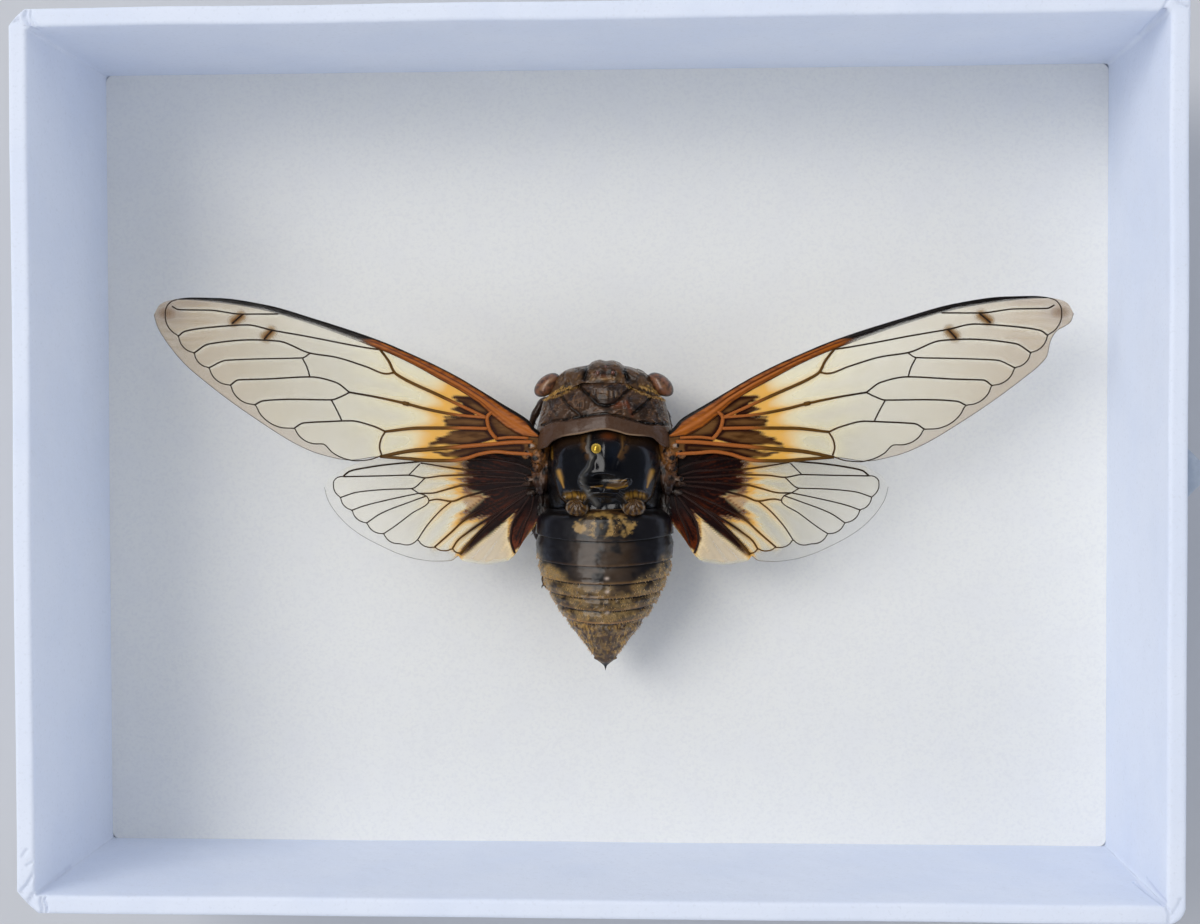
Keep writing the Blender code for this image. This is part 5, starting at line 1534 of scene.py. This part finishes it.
def hindwing_vein_marks(x, _):
    # grey lightens the veins near the root: painted sheen.
    grey = 0.15 * (1 - ease((x - 15) / 4))
    return {"middle": 1 - ease((x - 23) / 5), "shade": 1 - ease((x - 18.5) / 3.5), "grey": grey}


def add_wing_part(wing, part, bm, material, marks_of, side):
    """Marks a part of a wing, which is drawn with x outwards, and puts it on its side of the body."""
    places = places_of(bm)
    marks = marks_of(places[:, 0], places[:, 1])
    if wing == "forewing_right":
        root = Vector((*FOREWING_ROOT, 0))
        turn = Matrix.Rotation(math.radians(RIGHT_FOREWING_TURN), 3, "Z")
        bmesh.ops.scale(bm, vec=(RIGHT_FOREWING_STRETCH, 1, 1), verts=bm.verts)
        bmesh.ops.rotate(bm, cent=root, matrix=turn, verts=bm.verts)
    bmesh.ops.scale(bm, vec=(side, 1, 1), verts=bm.verts)
    face_outwards(bm)
    stands_for = (wing,) if part == "membrane" else ()
    add_piece(f"{wing}_{part}", bm, material, stands_for, marks, body_axis())


def vein_lines(veins, height, thick):
    """Bars for the veins, thicker on the body's side of the x called thick."""
    lines = []
    for radius, points in veins:
        length = np.linalg.norm(np.diff(np.array(points), axis=0), axis=1).sum()
        flat = along_line(points, np.linspace(0, 1, max(4, int(length / 0.4))))
        z = height(flat[:, 0], flat[:, 1])
        swell = 0.68 + 0.32 * (1 - ease((flat[:, 0] - thick) / 9))
        lines.append(np.column_stack([flat, z, radius * swell]))
    return lines


def make_costa(side, word, skin):
    """The thick front edge of the forewing, from its root to the tip, arched between its two lines."""
    reach = COSTA_END / FOREWING_LEAD[-1][0]
    bm = bmesh.new()
    bmesh.ops.create_grid(bm, x_segments=260, y_segments=14, size=1.0)
    unit = (places_of(bm) + 1) / 2
    front = along_line(FOREWING_LEAD, unit[:, 0] * reach * COSTA_PULL)
    rear = along_line(COSTA_INNER, unit[:, 0])
    flat = rear + (front - rear) * unit[:, 1:2]
    arch = 0.28 * np.sqrt(np.clip(1 - (2 * unit[:, 1] - 1) ** 2, 0, 1)) * ease((COSTA_END - flat[:, 0]) / 6)
    grooves = 0.05 * np.cos(unit[:, 1] * math.pi * 6) * ease((NODE_X - flat[:, 0]) / 6)
    move_to(bm, np.column_stack([flat, forewing_height(flat[:, 0], flat[:, 1]) + 0.05 + arch + grooves]))
    thicken(bm, COSTA_THICKNESS)
    add_wing_part(f"forewing_{word}", "front_edge", bm, skin, costa_marks, side)


def costa_marks(x, y):
    """Bands along the thick front edge: black outside, rust with darker stripes inside."""
    from_lead = distance_to(x, y, FOREWING_LEAD)
    from_inner = distance_to(x, y, COSTA_INNER)
    width = np.maximum(from_lead + from_inner, 0.2)
    share = from_lead / width
    beyond = ease((x - NODE_X) / 3.0)
    black_width = 0.12 + 0.3 * ease((20 - x) / 8) + 0.42 * beyond
    black = 1 - ease((from_lead - black_width) / (0.16 + 0.25 * beyond))
    inner_line = 1 - ease((from_inner - 0.08) / 0.14)
    stripes = peak(share - 0.42, 0.07) + 0.6 * peak(share - 0.78, 0.06)
    return {
        "lit": (1 - beyond) * peak(share - 0.6, 0.22) * (1 - 0.7 * ease((x - 20) / 9)),
        "stripe": (1 - beyond) * ease((x - 13) / 5) * stripes,
        "outer": beyond,
        "black": np.clip(black + inner_line * (1 - beyond) * 0.8, 0, 1),
        "cover": 1 - beyond * 0.75 * ease((share - 0.35) / 0.5),
    }


def make_forewings(settings):
    """Both front wings: membrane, veins and the dark vein along the front edge."""
    layers = (
        *tints(outer="c6a768", cream="fff3bc", border="c3a878", halo="fff8de"),
        ("amber", settings.amber[:]), ("stain", settings.stain[:]),
        *tints(rim="260b04", rusty="8f6420", core="74461c"),
    )  # fmt: skip
    skin = membrane_material("forewing_membrane", settings, layers, 0.8)
    veins, edge = vein_material(), costa_material()
    for side, word in SIDES:
        trail = FOREWING_TRAIL if side < 0 else FOREWING_TRAIL[:-3] + TORN_TIP
        bm = sheet_between(FOREWING_LEAD, trail, (230, 90), forewing_height, settings.thickness / MM)
        add_wing_part(f"forewing_{word}", "membrane", bm, skin, forewing_marks, side)
        rim = ((0.13, scallops(AMBIENT_ENDS)), (0.055, trail[4:]))
        bm = bars_along(vein_lines(FOREWING_VEINS + rim, forewing_height, 27), 2)
        add_wing_part(f"forewing_{word}", "veins", bm, veins, forewing_vein_marks, side)
        make_costa(side, word, edge)


def make_hindwings(settings):
    """Both rear wings: membrane and veins."""
    layers = (
        *tints(cream="fff3bc", border="d6cfb6", halo="fff8de"), ("amber", settings.amber[:]),
        *tints(lobe="e8d2aa", window="c4a072", strip="2c1a12"), ("fan", settings.fan[:]),
        *tints(ray="2a130a", inner="120d0d", rusty="6a2c0d"),
    )  # fmt: skip
    skin = membrane_material("hindwing_membrane", settings, layers, 0.7)
    veins = bpy.data.materials["wing_vein_cuticle"]
    for side, word in SIDES:
        thickness = settings.thickness / MM
        bm = sheet_between(HINDWING_LEAD, HINDWING_TRAIL, (150, 80), hindwing_height, thickness)
        add_wing_part(f"hindwing_{word}", "membrane", bm, skin, hindwing_marks, side)
        rim = ((0.12, scallops(HIND_AMBIENT_ENDS)), (0.04, HINDWING_TRAIL[9:]))
        bm = bars_along(vein_lines(HINDWING_VEINS + rim, hindwing_height, 19), 2)
        add_wing_part(f"hindwing_{word}", "veins", bm, veins, hindwing_vein_marks, side)


def make_wing_roots():
    """The hinges between thorax and wings: a leathery fold with small hard plates in it."""
    layers = tints(gold="5c3a1f", pale="a08c7c", bright="80542a", dark="120b09")
    skin = cuticle_material("wing_hinge_cuticle", linear("3a2417"), layers, (0.24, 0.45), (0.45, 0.1), 0.3)
    axis = body_axis()
    for side, word in SIDES:
        bm = bmesh.new()
        for lump in HINGE_LUMPS:
            add_lump(bm, lump[:3], lump[3:], (56, 32))
        places = places_of(bm)
        places[:, 2] += 0.3 * rough(places, 1.3, 3)
        places[:, :2] += 0.16 * rough(places + 9.0, 1.3, 3)[:, None]
        move_to(bm, places)
        patchy = rough(places + 4.0, 1.2, 3)
        x, y = places[:, 0], places[:, 1]
        # pale is painted glints: a spot on top of a lump and two streaks at the hindwing's root.
        pale = spot(x, y, (10.5, 2.1), 0.45, 0.35)
        pale += 0.5 * ridge(x, y, ((9.6, -2.6), (11.6, -3.3)), 0.18)
        pale += 0.5 * ridge(x, y, ((9.9, -4.4), (11.6, -5.2)), 0.16)
        marks = {
            "gold": ease((patchy + 0.4) / 0.4) * ease((y + 3.8) / 2),
            "bright": ease((patchy - 0.02) / 0.2) * ease((y + 2) / 2),
            "pale": pale,
            "dark": ease((-0.12 - patchy) / 0.25) + 0.7 * ease((-3.0 - y) / 1.5),
        }
        bmesh.ops.scale(bm, vec=(side, 1, 1), verts=bm.verts)
        face_outwards(bm)
        add_piece("wing_hinge_" + word, bm, skin, marks=marks, offset=axis)


def make_hairs(settings):
    """Short golden hairs, planted where the body's surfaces are marked gold and combed backwards."""
    random = np.random.default_rng(11)
    length = settings.hair_length / MM
    lines = []
    for name, mark, share, stretch in HAIR_BEDS:
        mesh = bpy.data.objects[name].data
        count = len(mesh.vertices)
        gold = np.empty(count, np.float32)
        roots, normals = np.empty(count * 3, np.float32), np.empty(count * 3, np.float32)
        mesh.attributes[mark].data.foreach_get("value", gold)
        mesh.vertices.foreach_get("co", roots)
        mesh.vertices.foreach_get("normal", normals)
        roots, normals = roots.reshape(-1, 3) / MM, normals.reshape(-1, 3)
        weight = np.where(normals[:, 2] > -0.1, gold, 0.0).astype(float) ** 1.5
        for index in random.choice(count, int(settings.hairs * share), p=weight / weight.sum()):
            way = normals[index] * 0.7 + random.normal(0, 0.25, 3) + (0, -0.7, 0)
            way *= length * stretch * random.uniform(0.5, 1.2) / np.linalg.norm(way)
            bend = np.array([0, -0.12, -0.1]) * length
            root = roots[index]
            thick = TUFT_RADIUS if mark == "tuft" else HAIR_RADIUS
            middle, tip = root + way * 0.5, root + way + bend
            lines.append([(*root, thick), (*middle, thick * 0.8), (*tip, thick * 0.25)])
    add_piece("golden_hairs", bars_along(lines, 0), hair_material(settings))


def make_floor(settings):
    """A plain painted floor that reaches past the picture on all sides."""
    bm = bmesh.new()
    bmesh.ops.create_grid(bm, x_segments=1, y_segments=1, size=FLOOR_HALF)
    mesh = bpy.data.meshes.new("floor")
    bm.to_mesh(mesh)
    bm.free()
    material, tree, shader = start_material("painted_studio_floor", Roughness=0.8)
    cloud = grain(tree, 60.0, 0.3, 0.8)
    paint(tree, shader, settings.floor[:], ((cloud, linear("c3c6cc")),))
    mesh.materials.append(material)
    floor = bpy.data.objects.new("floor", mesh)
    bpy.context.scene.collection.objects.link(floor)


def make_camera(settings):
    """The camera, which looks down as the photograph does."""
    data = bpy.data.cameras.new("camera")
    data.lens = settings.lens
    data.sensor_width = SENSOR_WIDTH
    data.sensor_fit = "HORIZONTAL"
    data.clip_start = 0.01
    camera = bpy.data.objects.new("camera", data)
    bpy.context.scene.collection.objects.link(camera)
    turns = [Matrix.Rotation(math.radians(angle), 4, axis) for angle, axis in zip(CAMERA_TURN, "XYZ")]
    turn = (turns[2] @ turns[1] @ turns[0]).transposed()
    camera.matrix_world = Matrix.Translation(Vector(CAMERA_PLACE) * MM) @ turn
    bpy.context.scene.camera = camera


def make_sky(settings):
    """Soft light from all round.

    Whoever holds the camera shades the sky straight above, and a varnished surface mirrors a dim room.
    """
    world = bpy.data.worlds.new("sky")
    world.use_nodes = True
    tree = world.node_tree
    background = tree.nodes["Background"]
    background.inputs["Color"].default_value = linear("eff2f8")
    direction = add_node(tree, "ShaderNodeTexCoord", out="Generated")
    upward = add_node(tree, "ShaderNodeSeparateXYZ", {"Vector": direction}, out="Z")
    shaded = {"From Min": SHADE_START, "From Max": SHADE_FULL, "To Min": settings.sky}
    shaded |= {"Value": upward, "To Max": settings.sky * SHADED_SKY}
    strength = add_node(tree, "ShaderNodeMapRange", shaded, interpolation_type="SMOOTHSTEP")
    mirrored = add_node(tree, "ShaderNodeLightPath", out="Is Glossy Ray")
    share = add_node(tree, "ShaderNodeMapRange", {"Value": mirrored, "To Min": 1.0, "To Max": MIRRORED_SKY})
    strength = add_node(tree, "ShaderNodeMath", {0: strength, 1: share}, operation="MULTIPLY")
    tree.links.new(strength, background.inputs["Strength"])
    bpy.context.scene.world = world


def make_stage(settings):
    """A plain floor, the camera, a window light with the pane that varnish mirrors, and a soft sky."""
    make_floor(settings)
    make_camera(settings)
    add_light("window", settings.window, *WINDOW, "fffaf2").visible_glossy = False
    add_light("lamp", settings.window * PANE_SHARE, *PANE, "fffdfa").visible_diffuse = False
    make_sky(settings)
    bpy.context.scene.view_settings.view_transform = "Standard"


def add_light(name, power, place, size, colour):
    """A rectangular light that looks at the middle of the box."""
    data = bpy.data.lights.new(name, "AREA")
    data.shape = "RECTANGLE"
    data.size, data.size_y = size
    data.energy = power
    data.color = linear(colour)[:3]
    light = bpy.data.objects.new(name, data)
    bpy.context.scene.collection.objects.link(light)
    turn = Vector(place).to_track_quat("Z", "Y").to_matrix().to_4x4()
    light.matrix_world = Matrix.Translation(place) @ turn
    light.visible_camera = False
    return light


class CICADA_OT_tray(bpy.types.Operator):
    """Covers the tray with folded white paper"""

    bl_idname = "cicada.tray"
    bl_label = "Tray"

    def execute(self, context):
        make_tray(context.scene.cicada_box)
        return {"FINISHED"}


class CICADA_OT_foam(bpy.types.Operator):
    """Lays the foam pad in the tray"""

    bl_idname = "cicada.foam"
    bl_label = "Foam pad"

    def execute(self, context):
        make_foam(context.scene.cicada_box)
        return {"FINISHED"}


class CICADA_OT_tab(bpy.types.Operator):
    """Fixes the board tab to the right wall"""

    bl_idname = "cicada.tab"
    bl_label = "Tab"

    def execute(self, context):
        make_tab(context.scene.cicada_box)
        return {"FINISHED"}


class CICADA_OT_pin(bpy.types.Operator):
    """Sets the steel pin with its brass head"""

    bl_idname = "cicada.pin"
    bl_label = "Pin"

    def execute(self, context):
        make_pin()
        return {"FINISHED"}


class CICADA_OT_head(bpy.types.Operator):
    """Forms the head with its eyes, ocelli, antennae and beak, and the legs in the same cuticle"""

    bl_idname = "cicada.head"
    bl_label = "Head and legs"

    def execute(self, context):
        skin = make_head(context.scene.cicada_insect)
        make_legs(skin)
        return {"FINISHED"}


class CICADA_OT_thorax(bpy.types.Operator):
    """Forms the two shields of the thorax"""

    bl_idname = "cicada.thorax"
    bl_label = "Thorax"

    def execute(self, context):
        make_pronotum(context.scene.cicada_insect)
        make_thorax(context.scene.cicada_insect)
        return {"FINISHED"}


class CICADA_OT_abdomen(bpy.types.Operator):
    """Forms the abdomen's rings"""

    bl_idname = "cicada.abdomen"
    bl_label = "Abdomen"

    def execute(self, context):
        make_abdomen()
        return {"FINISHED"}


class CICADA_OT_forewings(bpy.types.Operator):
    """Spreads the two forewings"""

    bl_idname = "cicada.forewings"
    bl_label = "Forewings"

    def execute(self, context):
        make_forewings(context.scene.cicada_wings)
        return {"FINISHED"}


class CICADA_OT_hindwings(bpy.types.Operator):
    """Spreads the two hindwings"""

    bl_idname = "cicada.hindwings"
    bl_label = "Hindwings"

    def execute(self, context):
        make_hindwings(context.scene.cicada_wings)
        make_wing_roots()
        return {"FINISHED"}


class CICADA_OT_hairs(bpy.types.Operator):
    """Plants the short golden hairs"""

    bl_idname = "cicada.hairs"
    bl_label = "Golden hairs"

    def execute(self, context):
        make_hairs(context.scene.cicada_insect)
        return {"FINISHED"}


class CICADA_OT_stage(bpy.types.Operator):
    """Sets the floor, camera and lights"""

    bl_idname = "cicada.stage"
    bl_label = "Stage"

    def execute(self, context):
        make_stage(context.scene.cicada_studio)
        return {"FINISHED"}


STEPS = (
    CICADA_OT_tray, CICADA_OT_foam, CICADA_OT_tab, CICADA_OT_pin, CICADA_OT_head, CICADA_OT_thorax,
    CICADA_OT_abdomen, CICADA_OT_forewings, CICADA_OT_hindwings, CICADA_OT_hairs, CICADA_OT_stage,
)  # fmt: skip
GROUPS = {
    "cicada_box": BoxSettings, "cicada_insect": InsectSettings, "cicada_wings": WingSettings,
    "cicada_studio": StudioSettings,
}  # fmt: skip


class CICADA_PT_panel(bpy.types.Panel):
    """Lists the steps and what each group of pieces can change"""

    bl_label = "Framed Cicada"
    bl_idname = "CICADA_PT_panel"
    bl_space_type = "VIEW_3D"
    bl_region_type = "UI"
    bl_category = "Cicada"

    def draw(self, context):
        for step in STEPS:
            self.layout.operator(step.bl_idname)
        for name, group in GROUPS.items():
            box = self.layout.box()
            for key in group.__annotations__:
                box.prop(getattr(context.scene, name), key)


def register():
    for kind in (*GROUPS.values(), *STEPS, CICADA_PT_panel):
        bpy.utils.register_class(kind)
    for name, group in GROUPS.items():
        setattr(bpy.types.Scene, name, PointerProperty(type=group))


def unregister():
    for name in GROUPS:
        delattr(bpy.types.Scene, name)
    for kind in (CICADA_PT_panel, *reversed(STEPS), *GROUPS.values()):
        bpy.utils.unregister_class(kind)


def main():
    register()
    for step in STEPS:
        getattr(bpy.ops.cicada, step.bl_idname.split(".")[1])()


if __name__ == "__main__":
    main()
